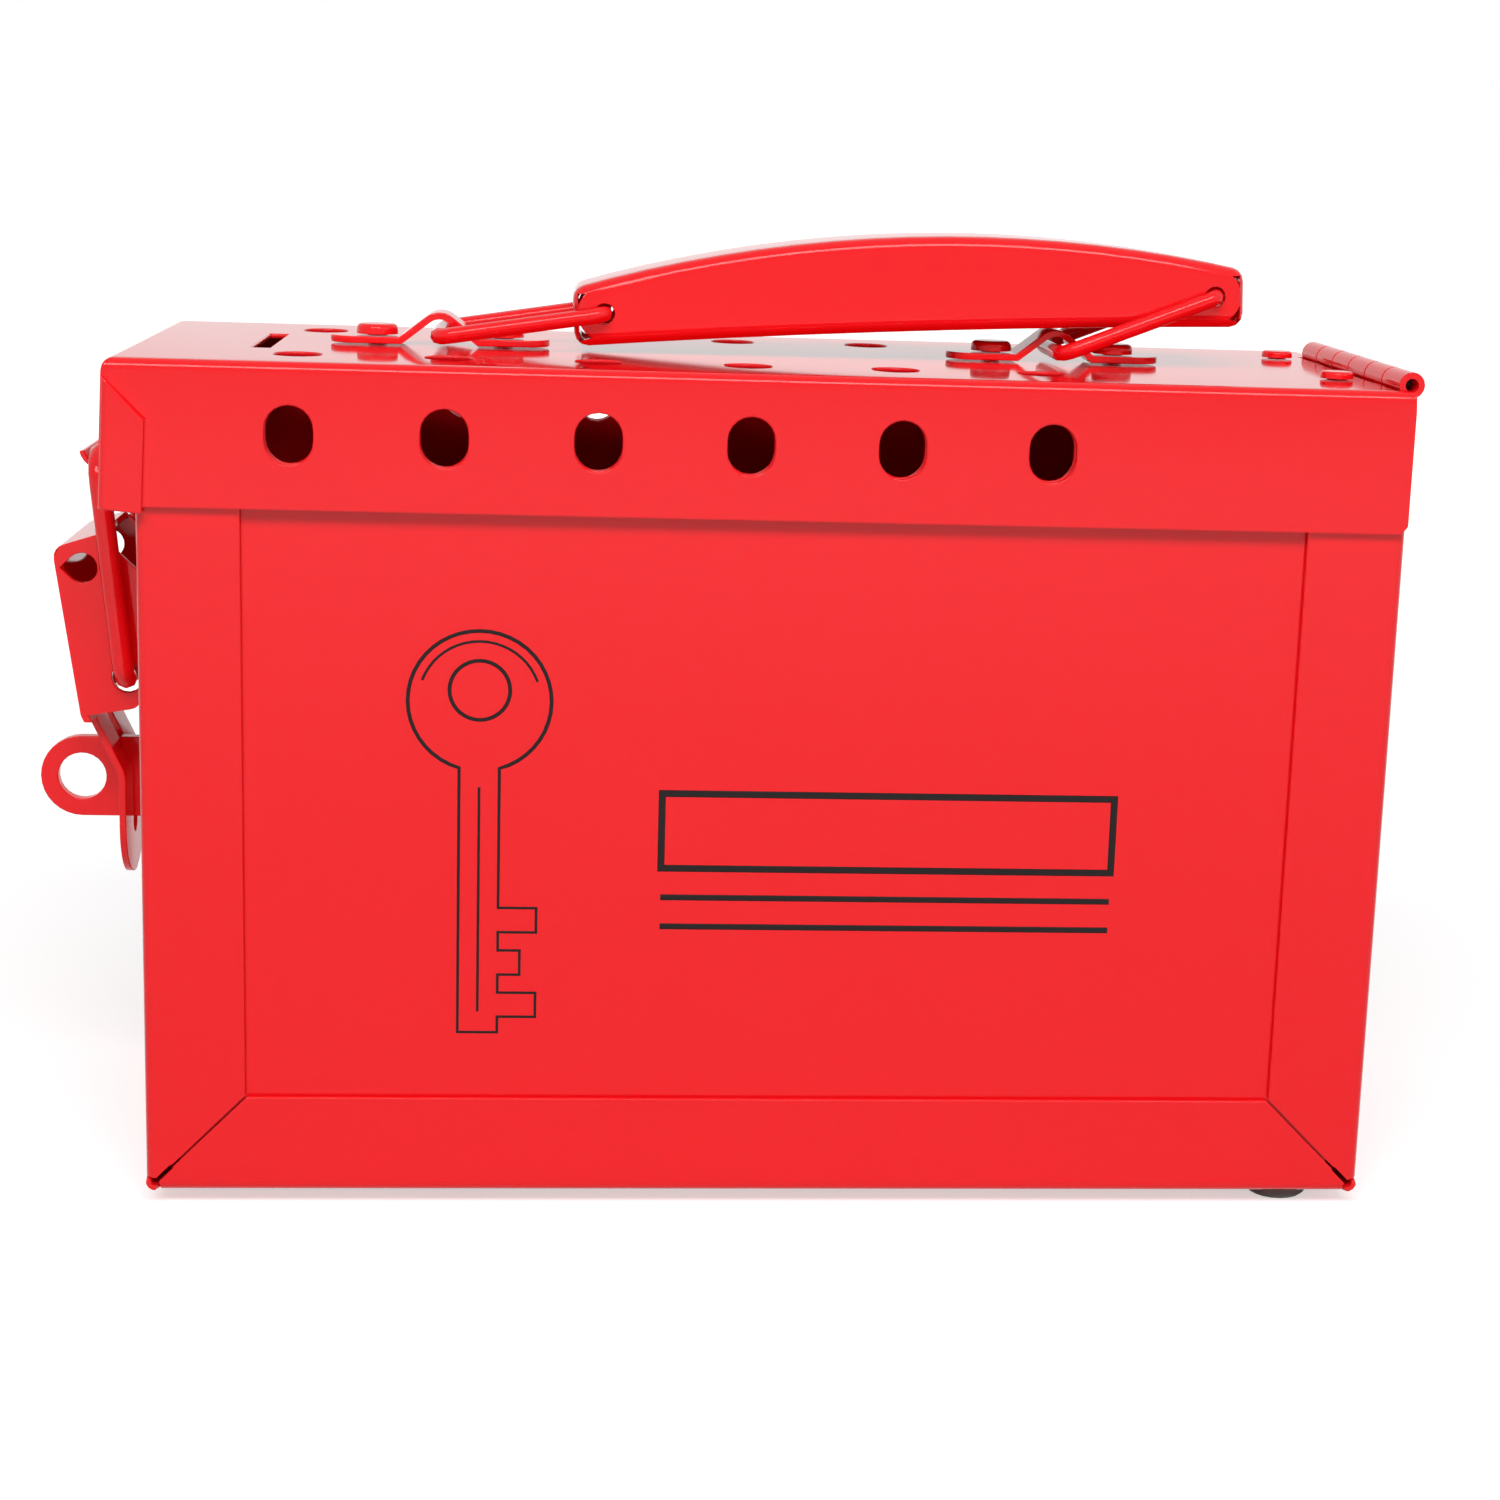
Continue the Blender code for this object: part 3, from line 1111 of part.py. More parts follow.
def make_staple():
    """Eye plate that stands out through the tongue's slot, with a foot riveted to the end wall."""
    back = CASE_LEFT - SEAT_GAP
    root = back - STAPLE_FOOT_SHEET / 2 - STAPLE_X
    nose = arc((0, 0), STAPLE_RADIUS, 90, 270, KNUCKLE_STEPS)
    eye = ring((0, 0), STAPLE_HOLE_RADIUS, STAPLE_HOLE_STEPS)
    outline = [*nose, (root, -STAPLE_RADIUS), (root, STAPLE_RADIUS)]
    staple = plate("padlock_staple", outline, STAPLE_THICKNESS, holes=(eye,))
    staple.location = (STAPLE_X, 0, STAPLE_Z)
    reach = STAPLE_RADIUS + SEAT_GAP
    foot = block("staple_foot", (back - STAPLE_FOOT_SHEET, -STAPLE_THICKNESS, STAPLE_Z - reach),
                 (back, STAPLE_FOOT_WIDTH, STAPLE_Z + reach))
    combine(staple, "UNION", foot)
    combine(staple, "DIFFERENCE", staple_rivet_holes("foot"))
    return smooth(seat(staple, PAINT, CASE))


def make_staple_rivets():
    """Two rivets through the staple's foot and the end wall."""
    face = CASE_LEFT - SEAT_GAP - STAPLE_FOOT_SHEET
    out = STAPLE_RIVET_SPREAD / 2
    set_rivets({"staple_rivet_lower": (face, STAPLE_RIVET_OUT, STAPLE_Z - out),
                "staple_rivet_upper": (face, STAPLE_RIVET_OUT, STAPLE_Z + out)},
               CASE, PAINT, STAPLE_FOOT_SHEET + SEAT_GAP + SHEET, facing=(-1, 0, 0))


def foot_places():
    """End, x and front-to-back spread of each pair of rubber feet."""
    left = CASE_LEFT + FOOT_INSET
    right = CASE_RIGHT - FOOT_INSET
    spread_left = LID_DEPTH - 2 * FOOT_FROM_SIDE_LEFT
    spread_right = LID_DEPTH - 2 * FOOT_FROM_SIDE_RIGHT
    return ("left", left, spread_left), ("right", right, spread_right)


def foot_rivet_holes():
    """Holes of the feet's rivets in the bottom of the case."""
    return [rivet_hole("foot_holes_" + end, (x, -spread / 2, 0), (0, 0, 1), 2, (0, spread, 0))
            for end, x, spread in foot_places()]


def make_feet():
    """Rubber feet with a recess for the rivet's head."""
    bore = RIVET_SHANK_RADIUS + SEAT_GAP
    top, low = -SEAT_GAP, -FOOT_HEIGHT
    recess = low + FOOT_RECESS_DEPTH
    profile = [(bore, top), (FOOT_RADIUS - FOOT_EDGE / 2, top), (FOOT_RADIUS, low + FOOT_EDGE),
               (FOOT_RADIUS - FOOT_EDGE, low), (FOOT_RECESS_RADIUS, low), (FOOT_RECESS_RADIUS, recess),
               (bore, recess)]
    floor = FOOT_HEIGHT - FOOT_RECESS_DEPTH
    for end, x, spread in foot_places():
        for side, y in (("front", -spread / 2), ("back", spread / 2)):
            foot = turned(f"foot_{side}_{end}", profile, FOOT_STEPS)
            foot.location = (x, y, 0)
            smooth(seat(foot, RUBBER, CASE))
            set_rivets({f"foot_rivet_{side}_{end}": (x, y, -floor)}, CASE, STEEL, floor + SHEET,
                       head_height=FOOT_RIVET_HEAD_HEIGHT, facing=(0, 0, -1))


make_body_wrap()
make_panel("front_panel", -1)
make_panel("back_panel", 1)
make_lid_shell()
make_lid_leaf()
make_case_leaf()
make_hinge_pin()
make_hinge_rivets()
make_handle_clip("handle_clip_left", CLIP_LEFT_X)
make_handle_clip("handle_clip_right", CLIP_RIGHT_X)
make_clip_rivets()
make_links()
make_grip()
make_lid_catch()
make_catch_rivets()
make_bail()
make_lever()
make_latch_bracket()
make_latch_pin()
make_bracket_rivets()
make_staple()
make_staple_rivets()
make_feet()
bpy.context.view_layer.update()
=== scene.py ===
import json
import math

import bmesh
import bpy
from mathutils import Matrix, Vector

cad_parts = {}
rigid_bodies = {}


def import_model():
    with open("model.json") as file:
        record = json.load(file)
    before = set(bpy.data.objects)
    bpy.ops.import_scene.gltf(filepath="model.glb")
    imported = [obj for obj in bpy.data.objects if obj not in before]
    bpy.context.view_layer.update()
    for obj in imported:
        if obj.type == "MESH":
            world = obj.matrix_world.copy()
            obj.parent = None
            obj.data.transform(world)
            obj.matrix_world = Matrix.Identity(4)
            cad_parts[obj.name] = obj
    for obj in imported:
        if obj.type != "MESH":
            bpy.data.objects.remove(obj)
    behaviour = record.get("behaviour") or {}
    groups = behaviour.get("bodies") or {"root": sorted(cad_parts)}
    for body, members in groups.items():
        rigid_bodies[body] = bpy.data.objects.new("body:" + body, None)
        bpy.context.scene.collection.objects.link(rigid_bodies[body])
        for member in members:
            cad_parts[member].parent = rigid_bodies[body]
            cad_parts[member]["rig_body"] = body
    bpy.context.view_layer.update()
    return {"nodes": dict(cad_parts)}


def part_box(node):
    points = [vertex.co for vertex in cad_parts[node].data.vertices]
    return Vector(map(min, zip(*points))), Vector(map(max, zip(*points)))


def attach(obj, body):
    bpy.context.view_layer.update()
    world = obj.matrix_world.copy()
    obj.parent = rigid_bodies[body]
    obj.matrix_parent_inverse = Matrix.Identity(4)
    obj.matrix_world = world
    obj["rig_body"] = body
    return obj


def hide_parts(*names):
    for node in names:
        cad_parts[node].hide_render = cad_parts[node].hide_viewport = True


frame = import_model()

# The case: one steel sheet folded into the two ends and the bottom, its flanges turned on to the
# flat front and back panels and mitred at the lower corners. All of it is powder coated red, a
# glossy paint with a faint orange peel, a little thinner in places.
red_coat = (0.880, 0.0060, 0.0110)
red_thin = (0.900, 0.0100, 0.0160)
sheet_edge = 0.00035
peel_height = 0.00003
weld = 0.000012
flat_turn, sharp_turn = math.radians(0.05), math.radians(42.0)


def orange_peel_group():
    """Colour, roughness and height of a sprayed and baked coat."""
    group = bpy.data.node_groups.new("orange_peel", "ShaderNodeTree")
    face = group.interface
    face.new_socket("Colour", in_out="INPUT", socket_type="NodeSocketColor")
    face.new_socket("Thin colour", in_out="INPUT", socket_type="NodeSocketColor")
    face.new_socket("Roughness", in_out="INPUT", socket_type="NodeSocketFloat")
    face.new_socket("Peel size", in_out="INPUT", socket_type="NodeSocketFloat")
    face.new_socket("Colour", in_out="OUTPUT", socket_type="NodeSocketColor")
    face.new_socket("Roughness", in_out="OUTPUT", socket_type="NodeSocketFloat")
    face.new_socket("Height", in_out="OUTPUT", socket_type="NodeSocketFloat")
    nodes, links = group.nodes, group.links
    given = nodes.new("NodeGroupInput")
    result = nodes.new("NodeGroupOutput")
    where = nodes.new("ShaderNodeTexCoord")
    cloud = nodes.new("ShaderNodeTexNoise")
    cloud.inputs["Scale"].default_value = 28.0
    cloud.inputs["Detail"].default_value = 3.0
    links.new(where.outputs["Object"], cloud.inputs["Vector"])
    share = nodes.new("ShaderNodeMapRange")
    share.inputs["From Min"].default_value = 0.35
    share.inputs["From Max"].default_value = 0.75
    share.inputs["To Max"].default_value = 0.25
    links.new(cloud.outputs["Fac"], share.inputs["Value"])
    tint = nodes.new("ShaderNodeMix")
    tint.data_type = "RGBA"
    links.new(share.outputs["Result"], tint.inputs["Factor"])
    links.new(given.outputs["Colour"], tint.inputs[6])
    links.new(given.outputs["Thin colour"], tint.inputs[7])
    links.new(tint.outputs[2], result.inputs["Colour"])
    peel = nodes.new("ShaderNodeTexNoise")
    peel.inputs["Detail"].default_value = 2.0
    links.new(where.outputs["Object"], peel.inputs["Vector"])
    links.new(given.outputs["Peel size"], peel.inputs["Scale"])
    links.new(peel.outputs["Fac"], result.inputs["Height"])
    spread = nodes.new("ShaderNodeMath")
    spread.operation = "MULTIPLY_ADD"
    spread.inputs[1].default_value = 0.06
    links.new(cloud.outputs["Fac"], spread.inputs[0])
    links.new(given.outputs["Roughness"], spread.inputs[2])
    links.new(spread.outputs["Value"], result.inputs["Roughness"])
    return group


ORANGE_PEEL = orange_peel_group()


def powder_coat(name, roughness, peel_size):
    """Red powder coat; its peel is finer, and a little less glossy, on the small pressed pieces."""
    paint = bpy.data.materials.new(name)
    paint.use_nodes = True
    nodes, links = paint.node_tree.nodes, paint.node_tree.links
    shader = nodes["Principled BSDF"]
    shader.inputs["Specular IOR Level"].default_value = 0.24
    film = nodes.new("ShaderNodeGroup")
    film.node_tree = ORANGE_PEEL
    film.inputs["Colour"].default_value = (*red_coat, 1.0)
    film.inputs["Thin colour"].default_value = (*red_thin, 1.0)
    film.inputs["Roughness"].default_value = roughness
    film.inputs["Peel size"].default_value = peel_size
    links.new(film.outputs["Colour"], shader.inputs["Base Color"])
    links.new(film.outputs["Roughness"], shader.inputs["Roughness"])
    bump = nodes.new("ShaderNodeBump")
    bump.inputs["Strength"].default_value = 0.18
    bump.inputs["Distance"].default_value = peel_height
    links.new(film.outputs["Height"], bump.inputs["Height"])
    links.new(bump.outputs["Normal"], shader.inputs["Normal"])
    return paint


SHEET_PAINT = powder_coat("powder_coat_sheet", 0.05, 420.0)


def start_edit(obj):
    """Select one object alone and open it in edit mode with everything in it selected."""
    if bpy.context.mode != "OBJECT":
        bpy.ops.object.mode_set(mode="OBJECT")
    bpy.ops.object.select_all(action="DESELECT")
    obj.select_set(True)
    bpy.context.view_layer.objects.active = obj
    bpy.ops.object.mode_set(mode="EDIT")
    bpy.ops.mesh.select_all(action="SELECT")


def apply_modifiers(obj):
    for modifier in list(obj.modifiers):
        bpy.ops.object.modifier_apply(modifier=modifier.name)


def has_room(edge, room):
    """True for an edge that meets no edge shorter than room and whose two faces are wider than room."""
    start = edge.verts[0].co
    along = (edge.verts[1].co - start).normalized()
    if any(side.calc_length() < room for end in edge.verts for side in end.link_edges):
        return False
    widths = (max((v.co - start).cross(along).length for v in face.verts) for face in edge.link_faces)
    return min(widths) > room


def painted_piece(node, paint, edge, crease=35.0, segments=2, room=2.0):
    """The piece over its solid, with its cut edges rounded as the tool and the coat leave them."""
    solid = frame["nodes"][node]
    piece = bpy.data.objects.new(node + "_painted", solid.data.copy())
    bpy.context.scene.collection.objects.link(piece)
    piece.data.materials.clear()
    piece.data.materials.append(paint)
    start_edit(piece)
    bpy.ops.mesh.customdata_custom_splitnormals_clear()
    bpy.ops.mesh.remove_doubles(threshold=weld)
    bpy.ops.mesh.mark_sharp(clear=True)
    bpy.ops.mesh.dissolve_limited(angle_limit=flat_turn)
    bpy.ops.object.mode_set(mode="OBJECT")
    if edge:
        shape = bmesh.new()
        shape.from_mesh(piece.data)
        share = shape.edges.layers.float.new("bevel_weight_edge")
        for line in shape.edges:
            if line.calc_face_angle(0.0) > sharp_turn and has_room(line, room * edge):
                line[share] = 1.0
        shape.to_mesh(piece.data)
        shape.free()
        rounding = piece.modifiers.new("coat_edge", "BEVEL")
        rounding.width = edge
        rounding.segments = segments
        rounding.limit_method = "WEIGHT"
        rounding.use_clamp_overlap = False
        rounding.loop_slide = False
        apply_modifiers(piece)
    bpy.ops.object.shade_smooth_by_angle(angle=math.radians(crease))
    flats = piece.modifiers.new("even_flats", "WEIGHTED_NORMAL")
    flats.keep_sharp = True
    flats.weight = 100
    apply_modifiers(piece)
    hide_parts(node)
    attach(piece, solid["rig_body"])
    return piece


for node in ("body_wrap", "front_panel", "back_panel"):
    painted_piece(node, SHEET_PAINT, sheet_edge, segments=3)

# The print on the front panel: black ink screened on to the paint, a key drawn in outline beside a
# plain field for writing in. It is a film a few hundredths of a millimetre thick.
ink_film = 0.00006
line_half = 0.00035
fine_line, rule_line, frame_line = line_half * 0.7, line_half * 1.6, line_half * 2.6
print_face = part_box("front_panel")[0].y
key_x, key_top = -0.0415, 0.0955
bow_radius, bow_eye = 0.0128, 0.0054
bow_gap, eye_rise = 0.0019, 0.0020
shaft_half, shaft_foot = 0.0036, 0.0335
tooth_out, tooth_step = 0.0105, 0.0046
tooth_short = tooth_out * 0.72
tooth_rise, tooth_pitch = 0.0030, tooth_step * 1.75
groove_above_foot, groove_below_bow = 0.0040, 0.0030
field_left, field_right = -0.0085, 0.0745
field_top, field_foot = 0.0790, 0.0650
rule_drops = (0.0055, 0.0110)


def grained_material(name, scale, detail, dark, pale):
    """A plain material whose colour wanders between two tones in a fine grain."""
    material = bpy.data.materials.new(name)
    material.use_nodes = True
    nodes, links = material.node_tree.nodes, material.node_tree.links
    where = nodes.new("ShaderNodeTexCoord")
    grain = nodes.new("ShaderNodeTexNoise")
    grain.inputs["Scale"].default_value = scale
    grain.inputs["Detail"].default_value = detail
    links.new(where.outputs["Object"], grain.inputs["Vector"])
    tone = nodes.new("ShaderNodeValToRGB")
    tone.color_ramp.elements[0].color = (*dark, 1.0)
    tone.color_ramp.elements[1].color = (*pale, 1.0)
    links.new(grain.outputs["Fac"], tone.inputs["Fac"])
    shader = nodes["Principled BSDF"]
    links.new(tone.outputs["Color"], shader.inputs["Base Color"])
    return material, shader, grain


def wandering_gloss(material, shader, grain, smooth, rough):
    """Roughness that follows the grain from smooth to rough."""
    nodes, links = material.node_tree.nodes, material.node_tree.links
    gloss = nodes.new("ShaderNodeMapRange")
    gloss.inputs["To Min"].default_value = smooth
    gloss.inputs["To Max"].default_value = rough
    links.new(grain.outputs["Fac"], gloss.inputs["Value"])
    links.new(gloss.outputs["Result"], shader.inputs["Roughness"])


INK, ink_shader, ink_grain = grained_material("black_screen_ink", 900.0, 3.0, (0.004, 0.003, 0.003),
                                              (0.012, 0.006, 0.006))
ink_shader.inputs["Specular IOR Level"].default_value = 0.2
wandering_gloss(INK, ink_shader, ink_grain, 0.28, 0.42)


def ink_line(name, points, closed, half=line_half):
    """One stroke of the print along (x, z) points, flattened to the thickness of the ink."""
    drawn = bpy.data.curves.new(name, "CURVE")
    drawn.dimensions = "3D"
    drawn.bevel_depth = half
    drawn.bevel_resolution = 2
    drawn.use_fill_caps = True
    stroke = drawn.splines.new("POLY")
    stroke.points.add(len(points) - 1)
    stroke.use_cyclic_u = closed
    for point, (x, z) in zip(stroke.points, points):
        point.co = (x, 0.0, z, 1.0)
    obj = bpy.data.objects.new(name, drawn)
    bpy.context.scene.collection.objects.link(obj)
    bpy.ops.object.select_all(action="DESELECT")
    obj.select_set(True)
    bpy.context.view_layer.objects.active = obj
    bpy.ops.object.convert(target="MESH")
    obj.scale = (1.0, ink_film / half, 1.0)
    obj.location.y = print_face
    bpy.ops.object.transform_apply(location=True, rotation=True, scale=True)
    return obj


def ring(centre, radius, start, end, steps):
    turns = [math.radians(start + (end - start) * k / steps) for k in range(steps + 1)]
    return [(centre[0] + radius * math.cos(t), centre[1] + radius * math.sin(t)) for t in turns]


neck = math.degrees(math.asin(shaft_half / bow_radius))
bow = ring((key_x, key_top), bow_radius, -90 + neck, 270 - neck, 40)
right_side = key_x + shaft_half
teeth = []
for k, reach in enumerate((tooth_out, tooth_short, tooth_out)):
    foot = shaft_foot + tooth_rise + (2 - k) * tooth_pitch
    tip, head = key_x + reach, foot + tooth_step
    teeth = [(right_side, foot), (tip, foot), (tip, head), (right_side, head)] + teeth
shaft = [(key_x - shaft_half, shaft_foot), (right_side, shaft_foot)]
key_outline = bow + shaft + teeth
eye = ring((key_x, key_top + eye_rise), bow_eye, 0, 350, 35)
inner = ring((key_x, key_top), bow_radius - bow_gap, 20, 160, 20)
groove = [(key_x, shaft_foot + groove_above_foot), (key_x, key_top - bow_radius - groove_below_bow)]
field = [(field_left, field_foot), (field_right, field_foot),
         (field_right, field_top), (field_left, field_top)]
strokes = [
    ink_line("print_key", key_outline, True),
    ink_line("print_key_eye", eye, True),
    ink_line("print_key_inner", inner, False, fine_line),
    ink_line("print_key_groove", groove, False, fine_line),
    ink_line("print_field", field, True, frame_line),
]
for k, drop in enumerate(rule_drops):
    z = field_foot - drop
    strokes.append(ink_line(f"print_rule_{k}", [(field_left, z), (field_right, z)], False, rule_line))
bpy.ops.object.select_all(action="DESELECT")
for stroke in strokes:
    stroke.select_set(True)
front_print = strokes[0]
bpy.context.view_layer.objects.active = front_print
bpy.ops.object.join()
front_print.name = "front_print"
front_print.data.materials.clear()
front_print.data.materials.append(INK)
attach(front_print, "case")

# The rubber feet: moulded grey rubber buttons with a recess for the rivet that holds each to the
# bottom of the case. Their skin is matt with fine dust.
rubber_edge = 0.00015
RUBBER, rubber_shader, rubber_grain = grained_material("grey_foot_rubber", 700.0, 4.0, (0.070, 0.070, 0.068),
                                                       (0.150, 0.148, 0.142))
rubber_shader.inputs["Roughness"].default_value = 0.72
rubber_nodes, rubber_links = RUBBER.node_tree.nodes, RUBBER.node_tree.links
rubber_bump = rubber_nodes.new("ShaderNodeBump")
rubber_bump.inputs["Strength"].default_value = 0.3
rubber_bump.inputs["Distance"].default_value = 0.00006
rubber_links.new(rubber_grain.outputs["Fac"], rubber_bump.inputs["Height"])
rubber_links.new(rubber_bump.outputs["Normal"], rubber_shader.inputs["Normal"])
for side in ("front", "back"):
    for end in ("left", "right"):
        foot = painted_piece(f"foot_{side}_{end}", RUBBER, rubber_edge)

# Zinc plated steel: the latch pin and the rivets of the feet are left bright, with the fine cloudy
# spangle of barrel plating.
pin_edge = 0.00012
ZINC, zinc_shader, zinc_cloud = grained_material("zinc_plate", 600.0, 2.0, (0.26, 0.26, 0.25),
                                                 (0.42, 0.42, 0.41))
zinc_shader.inputs["Metallic"].default_value = 1.0
wandering_gloss(ZINC, zinc_shader, zinc_cloud, 0.22, 0.42)
pin = painted_piece("latch_pin", ZINC, pin_edge)

# The hinge pin: a length of drawn wire whose near black colour is painted shade, standing in for the
# shadow in the mouth of the knuckles, with fine lighter streaks.
PIN_SHADE_PAINT, pin_shade_shader = grained_material("hinge_pin_painted_shade", 900.0, 2.0, (0.018, 0.016, 0.015),
                                     (0.060, 0.054, 0.050))[:2]
pin_shade_shader.inputs["Roughness"].default_value = 0.55
pin_shade_shader.inputs["Specular IOR Level"].default_value = 0.3
pin = painted_piece("hinge_pin", PIN_SHADE_PAINT, pin_edge)

# The rivets: each has a low button head with a rounded rim, a shank, and a tail spread on the far
# side of the sheets. They are set before the box is painted, so all but those of the feet are red.
shank_radius, tail_radius, tail_height = 0.0014, 0.0021, 0.0008
small_head, large_head = 0.00305, 0.00385
flat_rise, head_rise, large_rise = 0.0010, 0.0013, 0.0019
rim_share, tail_taper = 0.62, 0.8
facing_down = -0.9
SMALL_PAINT = powder_coat("powder_coat_fittings", 0.06, 650.0)


def set_rivet(node, facing, head_radius, head_height, paint=SMALL_PAINT):
    """A rivet in the place of its solid, its head towards facing."""
    low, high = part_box(node)
    axis = max(range(3), key=lambda k: abs(facing[k]))
    centre = (low + high) / 2
    length = high[axis] - low[axis]
    crown = Vector(centre)
    crown[axis] = high[axis] if facing[axis] > 0 else low[axis]
    bpy.ops.object.select_all(action="DESELECT")
    bpy.ops.mesh.primitive_cylinder_add(vertices=40, radius=head_radius, depth=head_height,
                                        location=(0, 0, -head_height / 2))
    rivet = bpy.context.object
    rivet.name = node + "_set"
    bpy.ops.object.transform_apply(location=True, rotation=True, scale=True)
    start_edit(rivet)
    shape = bmesh.from_edit_mesh(rivet.data)
    bpy.ops.mesh.select_all(action="DESELECT")
    for edge in shape.edges:
        edge.select = all(abs(v.co.z) < head_height / 100 for v in edge.verts)
    bmesh.update_edit_mesh(rivet.data)
    bpy.ops.mesh.bevel(offset=head_height * rim_share, segments=4, profile=0.6)
    bpy.ops.mesh.select_all(action="DESELECT")
    shape = bmesh.from_edit_mesh(rivet.data)
    for face in shape.faces:
        face.select = face.normal.z < facing_down
    bmesh.update_edit_mesh(rivet.data)
    bpy.ops.mesh.inset(thickness=head_radius - shank_radius)
    shank = length - head_height - tail_height
    bpy.ops.mesh.extrude_region_move(TRANSFORM_OT_translate={"value": (0, 0, -shank)})
    bpy.ops.mesh.extrude_region_move(TRANSFORM_OT_translate={"value": (0, 0, 0)})
    grow = tail_radius / shank_radius
    bpy.ops.transform.resize(value=(grow, grow, 1), center_override=(0, 0, -head_height - shank))
    bpy.ops.mesh.extrude_region_move(TRANSFORM_OT_translate={"value": (0, 0, -tail_height)})
    bpy.ops.transform.resize(value=(tail_taper, tail_taper, 1), center_override=(0, 0, -length))
    bpy.ops.mesh.select_all(action="SELECT")
    bpy.ops.mesh.remove_doubles(threshold=0.000002)
    bpy.ops.mesh.normals_make_consistent(inside=False)
    bpy.ops.object.mode_set(mode="OBJECT")
    rivet.rotation_euler = Vector((0, 0, 1)).rotation_difference(Vector(facing)).to_euler()
    rivet.location = crown
    bpy.ops.object.transform_apply(location=True, rotation=True, scale=True)
    bpy.ops.object.shade_smooth_by_angle(angle=math.radians(40.0))
    rivet.data.materials.append(paint)
    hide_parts(node)
    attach(rivet, frame["nodes"][node]["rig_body"])


for side in ("front", "back"):
    set_rivet(f"hinge_rivet_lid_{side}", (0, 0, 1), small_head, head_rise)
    set_rivet(f"hinge_rivet_case_{side}", (1, 0, 0), small_head, flat_rise)
    set_rivet(f"bracket_rivet_{side}", (-1, 0, 0), small_head, head_rise)
    set_rivet(f"catch_rivet_{side}", (-1, 0, 0), small_head, head_rise)
    for end in ("left", "right"):
        set_rivet(f"foot_rivet_{side}_{end}", (0, 0, -1), small_head, flat_rise, ZINC)
for place in ("lower", "upper"):
    set_rivet(f"staple_rivet_{place}", (-1, 0, 0), small_head, head_rise)
for end in ("left", "right"):
    for place in ("outer", "inner"):
        set_rivet(f"clip_rivet_{end}_{place}", (0, 0, 1), large_head, large_rise)

# The toggle latch: a lever pressed from one sheet turns on a pin in the bracket's ears, and a wire
# bail pulls the catch on the lid down. The staple stands through the lever's tongue for a padlock.
plate_edge, lever_edge = 0.00025, 0.00020
for node in ("latch_bracket", "padlock_staple", "lid_catch"):
    painted_piece(node, SMALL_PAINT, plate_edge, segments=3)
painted_piece("latch_lever", SMALL_PAINT, lever_edge, segments=3)
painted_piece("bail_wire", SMALL_PAINT, 0, crease=60.0)

# The lid: one sheet folded into a tray, its end flange lapped round on to the sides at the corners,
# with two rows of oblong holes in its top, one in each side, and a slot for dropping keys in.
painted_piece("lid_shell", SHEET_PAINT, sheet_edge, segments=3, room=1.3)

# The piano hinge: two leaves whose curled knuckles alternate on one pin, painted with the box.
leaf_edge = 0.00015
for node in ("hinge_leaf_body", "hinge_leaf_lid"):
    painted_piece(node, SMALL_PAINT, leaf_edge)

# The drop handle: two strap clips riveted to the lid hold wire links, and the links carry a grip
# bent from sheet, arched along its back and open below.
clip_edge, grip_edge = 0.00028, 0.00020
for node in ("handle_clip_left", "handle_clip_right"):
    painted_piece(node, SMALL_PAINT, clip_edge, segments=3)
for node in ("handle_link_left", "handle_link_right"):
    painted_piece(node, SMALL_PAINT, 0, crease=60.0)
painted_piece("handle_grip", SMALL_PAINT, grip_edge, crease=38.0)

# The floor: a pale table that runs on out of sight behind the box. What is seen of it glows a little,
# less close to the box, so that it stays white to the horizon and still takes the box's shadow.


def seen_rays(nodes, links):
    """The socket that says 1 for rays which show the background: straight, mirrored or seen through glass."""
    path = nodes.new("ShaderNodeLightPath")
    shown = path.outputs["Is Camera Ray"]
    for kind in ("Is Glossy Ray", "Is Transmission Ray"):
        either = nodes.new("ShaderNodeMath")
        either.operation = "MAXIMUM"
        links.new(shown, either.inputs[0])
        links.new(path.outputs[kind], either.inputs[1])
        shown = either.outputs["Value"]
    return shown


bpy.ops.object.select_all(action="DESELECT")
bpy.ops.mesh.primitive_plane_add(size=40.0, location=(0, 0, 0))
floor = bpy.context.object
floor.name = "floor"
FLOOR_PAINT = bpy.data.materials.new("pale_floor")
FLOOR_PAINT.use_nodes = True
floor_nodes, floor_links = FLOOR_PAINT.node_tree.nodes, FLOOR_PAINT.node_tree.links
floor_shader = floor_nodes["Principled BSDF"]
floor_shader.inputs["Base Color"].default_value = (0.72, 0.72, 0.72, 1.0)
floor_shader.inputs["Roughness"].default_value = 0.9
floor_shader.inputs["Specular IOR Level"].default_value = 0.0
floor_shader.inputs["Emission Strength"].default_value = 1.0
floor_where = floor_nodes.new("ShaderNodeTexCoord")
floor_reach = floor_nodes.new("ShaderNodeVectorMath")
floor_reach.operation = "LENGTH"
floor_links.new(floor_where.outputs["Object"], floor_reach.inputs[0])
floor_glow = floor_nodes.new("ShaderNodeMapRange")
floor_glow.interpolation_type = "SMOOTHSTEP"
floor_glow.inputs["From Min"].default_value = 0.10
floor_glow.inputs["From Max"].default_value = 1.2
floor_glow.inputs["To Min"].default_value = 0.56
floor_glow.inputs["To Max"].default_value = 1.0
floor_links.new(floor_reach.outputs["Value"], floor_glow.inputs["Value"])
floor_shown = floor_nodes.new("ShaderNodeMath")
floor_shown.operation = "MULTIPLY"
floor_links.new(floor_glow.outputs["Result"], floor_shown.inputs[0])
floor_links.new(seen_rays(floor_nodes, floor_links), floor_shown.inputs[1])
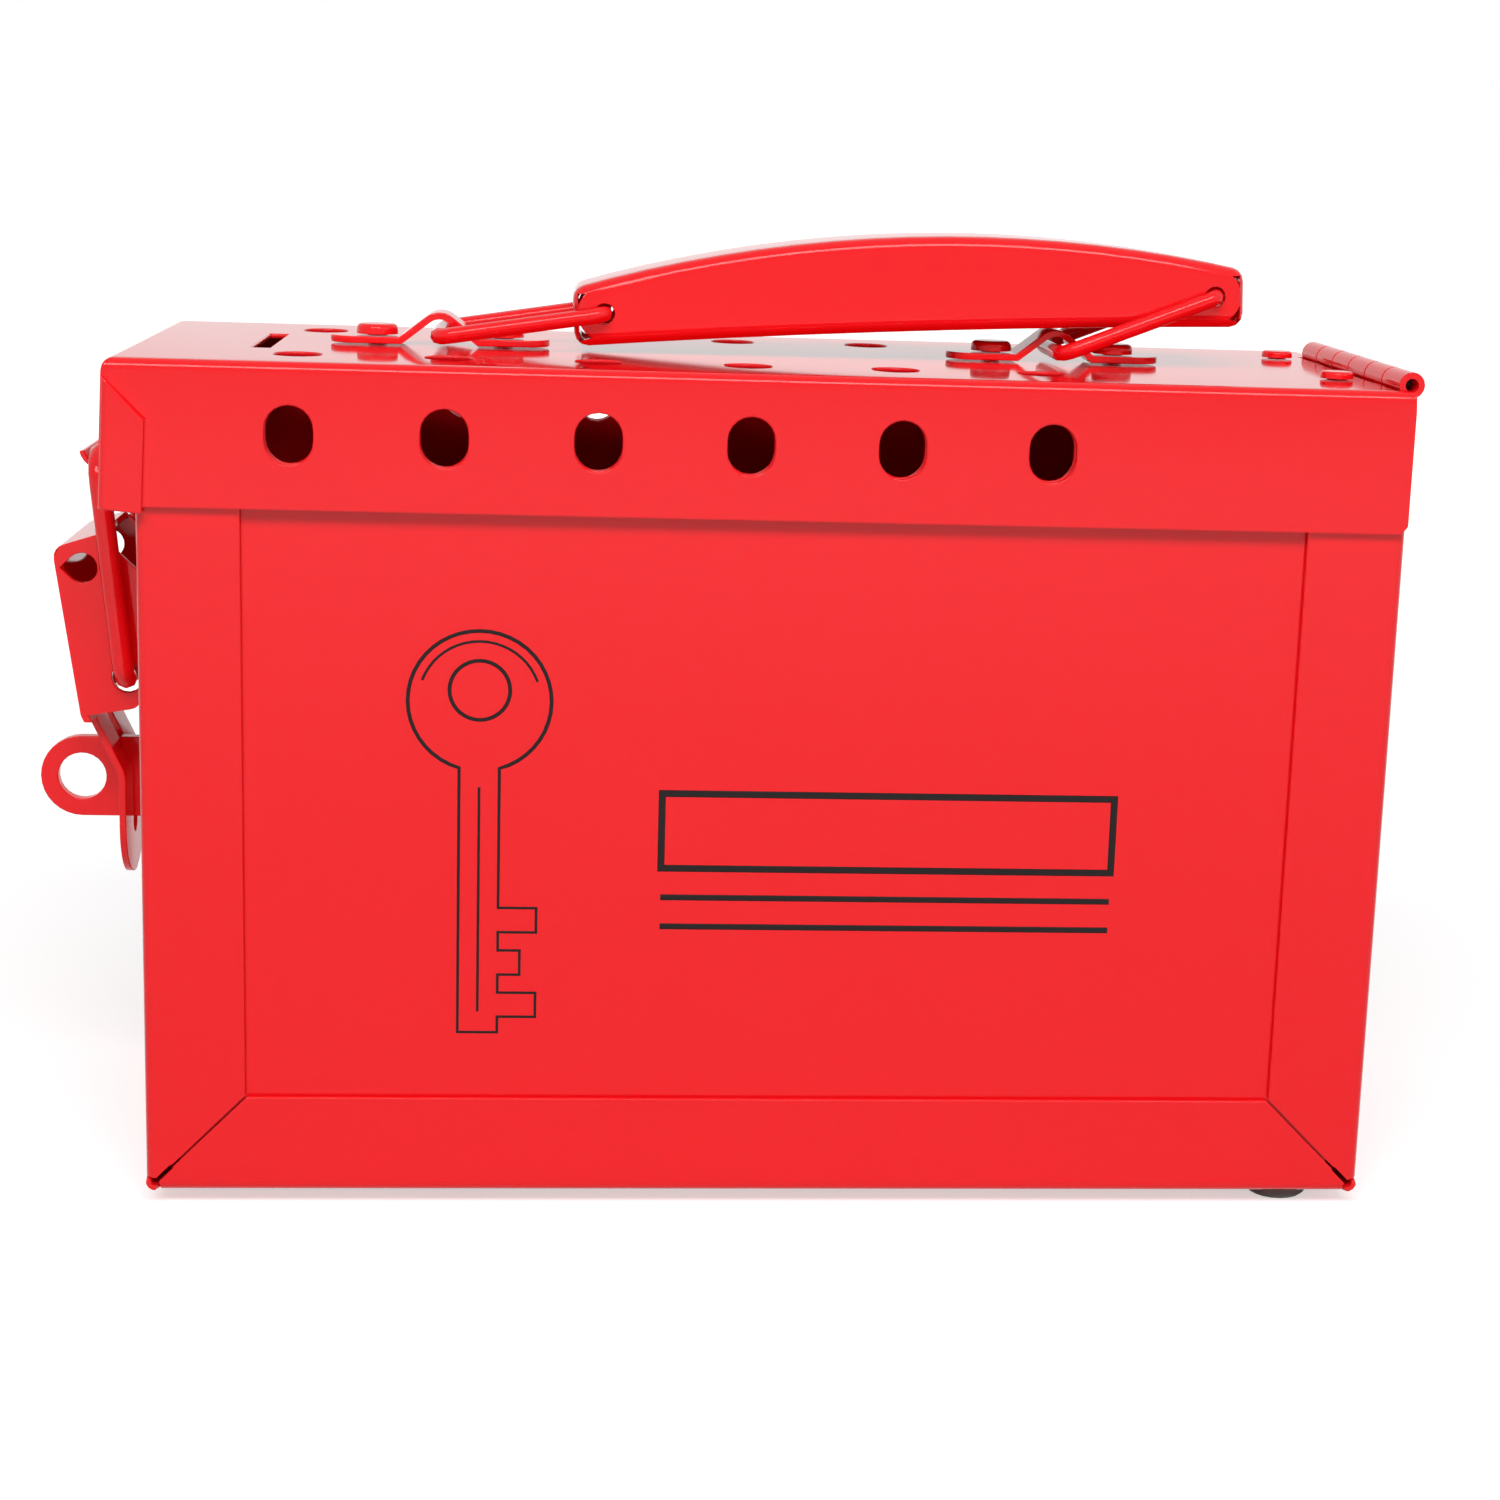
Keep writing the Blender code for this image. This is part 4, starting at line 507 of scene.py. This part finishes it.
floor_links.new(floor_shown.outputs["Value"], floor_shader.inputs["Emission Color"])
floor.data.materials.append(FLOOR_PAINT)

# The light: a plain white room, a long lamp box over the front and a weaker one on the right. The long
# one is narrow from top to bottom, so that the rounded edges carry a fine bright line.
world = bpy.data.worlds.new("white_room")
bpy.context.scene.world = world
world.use_nodes = True
room_nodes, room_links = world.node_tree.nodes, world.node_tree.links
room = room_nodes["Background"]
room.inputs["Color"].default_value = (1.0, 1.0, 1.0, 1.0)
strength = room_nodes.new("ShaderNodeMapRange")
strength.inputs["To Min"].default_value = 0.24
strength.inputs["To Max"].default_value = 1.0
room_links.new(seen_rays(room_nodes, room_links), strength.inputs["Value"])
room_links.new(strength.outputs["Result"], room.inputs["Strength"])


def soft_lamp(name, place, aim, width, height, power):
    data = bpy.data.lights.new(name, "AREA")
    data.shape = "RECTANGLE"
    data.size = width
    data.size_y = height
    data.energy = power
    lamp = bpy.data.objects.new(name, data)
    bpy.context.scene.collection.objects.link(lamp)
    lamp.location = place
    lamp.rotation_euler = (Vector(aim) - Vector(place)).to_track_quat("-Z", "Y").to_euler()


box_middle = (0, 0, 0.08)
soft_lamp("lamp_front", (-0.12, -1.15, 1.25), box_middle, 1.5, 0.45, 22.0)
soft_lamp("lamp_right", (1.40, -1.10, 1.10), box_middle, 1.0, 1.0, 3.6)

# The camera stands a little to the left of the box and above it, as the photograph was taken.
lens = bpy.data.cameras.new("camera")
camera = bpy.data.objects.new("camera", lens)
bpy.context.scene.collection.objects.link(camera)
lens.sensor_width = 36.0
lens.lens = 67.22
lens.shift_x = -0.0498
lens.shift_y = -0.0208
lens.clip_start = 0.01
right = Vector((0.995996, -0.082751, 0.033832))
up = Vector((-0.015785, 0.209716, 0.977635))
forward = Vector((0.087995, 0.974254, -0.207570))
turn = Matrix((right, up, -forward)).transposed()
camera.matrix_world = Matrix.Translation((-0.02409, -0.53623, 0.19854)) @ turn.to_4x4()
bpy.context.scene.camera = camera
bpy.context.scene.view_settings.view_transform = "Standard"

bpy.context.view_layer.update()
